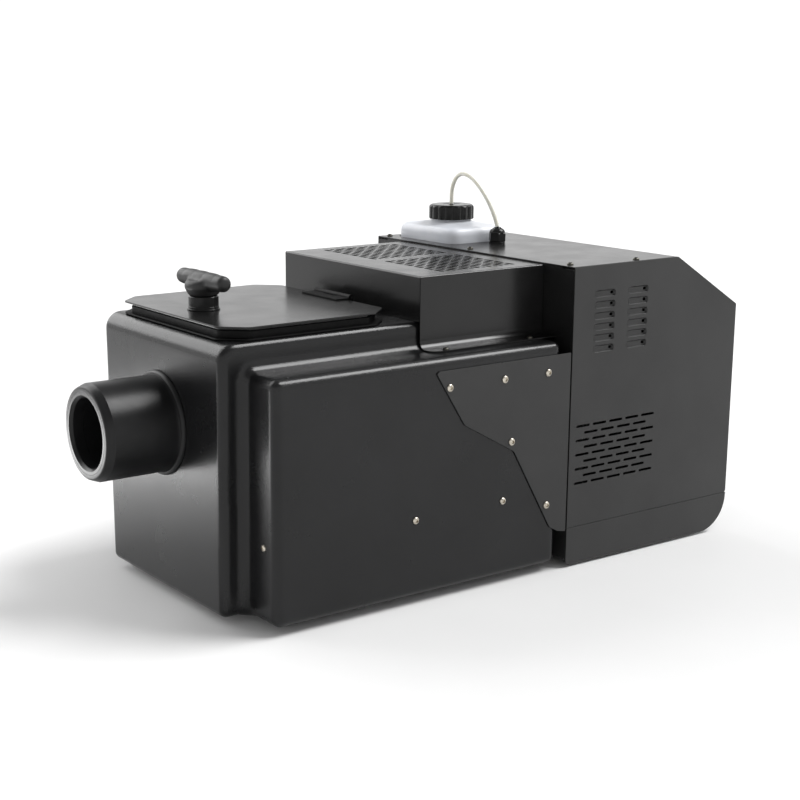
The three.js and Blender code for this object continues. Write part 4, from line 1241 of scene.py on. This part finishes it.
def make_rear(m):
    """The back sheet, the fittings in a row across it, and the control panel above."""
    (x0, x1), (y0, skin), (z0, z1) = span("rear_panel")
    inlet, fuse, switch = (middle(span(node)[0]) for node in ("mains_inlet", "fuse_holder", "switch_frame"))
    z = middle(span("mains_inlet")[2])
    sockets = {name: middle(span(f"dmx_{name}")[0]) for name in ("in", "out")}
    bm = bmesh.new()
    holes = [
        centred(inlet, z, 14, 10.5, 1), circle(fuse, z, 7), centred(switch, z, 10, 14, 1),
        *(circle(x, z, 12) for x in sockets.values()),
    ]
    slab(bm, rectangle(x0, x1, z0, z1, 1), holes, skin - 1.2, skin, on_back, 0.35)
    soft_box(bm, (x0, x1), (y0, skin - 0.6), (z0, z0 + 1.5), 0.3)
    piece("back_sheet", bm, m["coat"], replaces=["rear_panel"])
    make_inlet(m, inlet, skin, z)
    make_socket_screws(m, inlet, sockets.values(), skin, z)
    make_fuse(m, fuse, skin, z)
    make_switch(m, switch, skin, z)
    for name, x in sockets.items():
        make_socket(m, name, x, skin, z)
    make_control_panel(m)


def make_inlet(m, x, skin, z):
    """A mains inlet: a flanged body with three blades in its well."""
    bm = bmesh.new()
    well = rounded([
        (x - 11, z - 7, 1), (x + 11, z - 7, 1), (x + 11, z + 3, 0.6),
        (x + 6, z + 7.5, 0.6), (x - 6, z + 7.5, 0.6), (x - 11, z + 3, 0.6),
    ])
    slab(bm, centred(x, z, 22, 14, 4), [well], skin + 0.3, span("mains_inlet")[1][1], on_back, 0.7)
    slab(bm, centred(x, z, 13.5, 10, 1), [well], skin - 14.5, skin + 0.6, on_back, 0.3)
    slab(bm, centred(x, z, 13.5, 10, 1), [], skin - 16, skin - 14.2, on_back, 0.3)
    piece("inlet_body", bm, m["satin"], replaces=["mains_inlet"])
    bm = bmesh.new()
    for u, v in ((-7, -1), (0, 3), (7, -1)):
        soft_box(bm, (x + u - 1, x + u + 1), (skin - 14.4, skin - 1), (z + v - 2, z + v + 2), 0.4)
    piece("inlet_blades", bm, m["steel"])


def make_socket_screws(m, inlet_x, socket_xs, skin, z):
    bm = bmesh.new()
    for side in (-1, 1):
        place = (inlet_x + side * 18, span("mains_inlet")[1][1] - 0.2, z)
        screw_head(bm, aim((0, 1, 0), place), 2.2, 0.9, cross)
    for x in socket_xs:
        for u, v in ((-9.6, 12), (9.6, -12)):
            screw_head(bm, aim((0, 1, 0), (x + u, skin + 2.8, z + v)), 1.9, 0.9, cross)
    piece("socket_screws", bm, m["screw"])


def make_fuse(m, x, skin, z):
    """A fuse holder's round cap, with a bar to turn it by."""
    face = span("fuse_holder")[1][1]
    bm = bmesh.new()
    profile = [
        (0, skin - 24), (6.5, skin - 24), (6.5, skin + 0.3), (8.6, skin + 0.3), (8.6, face - 0.6),
        (8.0, face), (5.2, face), (5.0, face - 1.1), (0, face - 1.1),
    ]
    turned(bm, [(r, y - skin) for r, y in profile], aim((0, 1, 0), (x, skin, z)), 40)
    soft_box(bm, (x - 4.2, x + 4.2), (face - 1.3, face - 0.3), (z - 0.9, z + 0.9), 0.2)
    piece("fuse_cap", bm, m["gloss"], replaces=["fuse_holder"])


def make_switch(m, x, skin, z):
    """The frame round the mains switch's rocker."""
    bm = bmesh.new()
    window = centred(x, z, 7.2, 11.2, 0.8)
    slab(bm, centred(x, z, 12, 16, 2.5), [window], skin + 0.3, span("switch_frame")[1][1], on_back, 0.6)
    slab(bm, centred(x, z, 9.5, 13.5, 1), [window], skin - 9, skin + 0.6, on_back, 0.3)
    slab(bm, centred(x, z, 9.5, 13.5, 1), [], skin - 14, skin - 8.8, on_back, 0.3)
    piece("switch_surround", bm, m["satin"], replaces=["switch_frame"])
    dress("power_rocker", m["gloss"], 0.5)


def make_socket(m, name, x, skin, z):
    """A three-pole round connector: pins in a well, or holes in a face."""
    proud = span(f"dmx_{name}")[1][1] - skin
    bm = bmesh.new()
    slab(bm, centred(x, z, 13, 15.5, 2.5), [circle(x, z, 11.2, 40)], skin + 0.3, skin + 3, on_back, 0.5)
    out = aim((0, 1, 0), (x, skin, z))
    turns = [math.radians(a) for a in (90, 210, 330)]
    places = [aim((0, 1, 0), (x + 5.2 * math.cos(a), skin, z + 5.2 * math.sin(a))) for a in turns]
    shell = [(11.3, -18), (11.3, proud - 0.5), (10.9, proud), (9.9, proud), (9.6, proud - 0.4)]
    contacts = bmesh.new()
    if name == "in":
        turned(bm, [(0, -18), *shell, (9.6, -12.8), (0, -12.8)], out, 48)
        for place in places:
            turned(contacts, [(0, -13), (1.2, -13), (1.2, -2.8), (0.8, -2.1), (0, -1.9)], place, 20)
        piece("dmx_in_pins", contacts, m["steel"])
    else:
        face = proud - 1.2
        turned(bm, [(0, -18), *shell, (9.4, face), (0, face)], out, 48)
        for place in places:
            eye = [(1.3, face - 0.4), (2.1, face - 0.4), (2.1, face + 0.15), (1.3, face + 0.15)]
            turned(contacts, eye, place, 24)
        piece("dmx_out_contacts", contacts, m["brass"])
    piece(f"dmx_{name}_shell", bm, m["satin"], replaces=[f"dmx_{name}"])


def make_control_panel(m):
    """A display behind glass and four keys, on the sloping face at the rear."""
    y = (SLOPE_TOP[0] + BACK) / 2
    z = SLOPE_TOP[1] - (y - SLOPE_TOP[0]) * math.tan(SLOPE)
    tilt = Matrix.Translation((0, y, z)) @ Matrix.Rotation(-SLOPE, 4, "X")

    def on_slope(u, v, height):
        return tilt @ Vector((u, v, height))

    key_row, pitch = 13, 14
    keys = [(i - 1.5) * pitch for i in range(4)]
    bm = bmesh.new()
    key_holes = [circle(x, key_row, 4.6) for x in keys]
    window = rectangle(-33, 33, -19, 2, 1.5)
    slab(bm, rectangle(-45, 45, -24, 24, 4.5), [window, *key_holes], 0.3, 3.3, on_slope, 0.6)
    slab(bm, rectangle(-44, 44, -23, 23, 4), key_holes, 0.35, 1.7, on_slope, 0.2)
    piece("panel_bezel", bm, m["satin"], replaces=["display_bezel"])
    bm = bmesh.new()
    slab(bm, rectangle(-32.6, 32.6, -18.6, 1.6, 1.2), [], 2.1, 3.1, on_slope, 0.2)
    piece("panel_window", bm, m["screen"], replaces=["display_window"])
    for index, x in enumerate(keys, start=1):
        bm = bmesh.new()
        profile = [(0, 1.7), (4.1, 1.7), (4.1, 4.1), (3.9, 4.5), (3.3, 4.8), (1.8, 4.72), (0, 4.62)]
        turned(bm, profile, tilt @ Matrix.Translation((x, key_row, 0)), 32)
        piece(f"key_cap_{index}", bm, m["rubber"], f"key_{index}", [f"menu_button_{index}"])
    down = tilt.to_3x3() @ Vector((0, 0, 1))
    bm = bmesh.new()
    for x in (-41, 41):
        for v in (-20, 20):
            screw_head(bm, aim(down, on_slope(x, v, 3.2)), 2.0, 0.9, cross)
    piece("panel_screws", bm, m["dark_screw"])


# ---- Inside


def dress_inside(m):
    finishes = {
        "steel": ["ice_grate", "heater_jacket"],
        "aluminium": ["heater_block", "power_supply"],
        "brass": ["thermal_switch", "fog_pipe"],
        "satin": ["drain_plug", "pump"],
        "tube": ["feed_tube"],
        "board": ["control_board"],
    }
    for finish, nodes in finishes.items():
        for node in nodes:
            dress(node, m[finish], 0.4 if finish != "tube" else 0)


# ---- Studio


def make_floor():
    reach, depth = 9000, 20
    bm = bmesh.new()
    turned(bm, [(0, 0), (reach, 0), (reach, -depth), (0, -depth)], Matrix.Identity(4), 96)
    floor = plain_object("floor", bm)
    floor.data.transform(Matrix.Scale(MM, 4))
    floor.data.materials.append(surface_finish("pale_floor", grey(0.66), grey(0.68), (0.6, 0.7), 3))


def add_light(name, kind, towards, strength):
    """A light that shines from a direction."""
    data = bpy.data.lights.new(name, kind)
    data.energy = strength
    light = bpy.data.objects.new(name, data)
    bpy.context.scene.collection.objects.link(light)
    light.rotation_euler = Vector(towards).to_track_quat("Z", "Y").to_euler()
    return light


def make_lights():
    """Two broad suns, and a low strip beside the front that lights the tank's front face."""
    add_light("overhead", "SUN", (0.23, 0.56, 0.8), 3.6).data.angle = math.radians(34)
    add_light("left", "SUN", (-0.8, -0.25, 0.55), 1.8).data.angle = math.radians(50)
    low = add_light("low_left", "AREA", (-0.8, -0.6, -0.1), 1.6)
    low.data.shape = "RECTANGLE"
    low.data.size, low.data.size_y = 0.6, 0.1
    low.location = (-0.44, -0.62, 0.06)
    low.visible_camera = False


def make_studio():
    make_floor()
    make_sky()
    bpy.context.scene.view_settings.view_transform = "Standard"
    make_lights()


def make_sky():
    """White round the horizon and dimmer overhead."""
    world = bpy.data.worlds.new("studio")
    world.use_nodes = True
    tree = world.node_tree
    background = tree.nodes["Background"]
    place = tree.nodes.new("ShaderNodeTexCoord")
    split = tree.nodes.new("ShaderNodeSeparateXYZ")
    ramp = tree.nodes.new("ShaderNodeValToRGB")
    tree.links.new(place.outputs["Generated"], split.inputs["Vector"])
    tree.links.new(split.outputs["Z"], ramp.inputs["Fac"])
    tree.links.new(ramp.outputs["Color"], background.inputs["Color"])
    horizon, zenith = ramp.color_ramp.elements
    horizon.position, horizon.color = 0.36, (1, 1, 1, 1)
    zenith.position, zenith.color = 0.62, (*grey(0.3), 1)
    background.inputs["Strength"].default_value = 1.1
    bpy.context.scene.world = world


def main():
    make_camera()
    m = make_materials()
    make_suction_tube(m["tube"])
    make_tank(m)
    make_nozzle(m)
    make_lid(m)
    make_hood(m)
    make_screws(m)
    make_side_plates(m)
    make_side_covers(m)
    make_top_cover(m)
    make_base(m)
    make_bottle(m)
    make_rear(m)
    dress_inside(m)
    make_studio()


main()
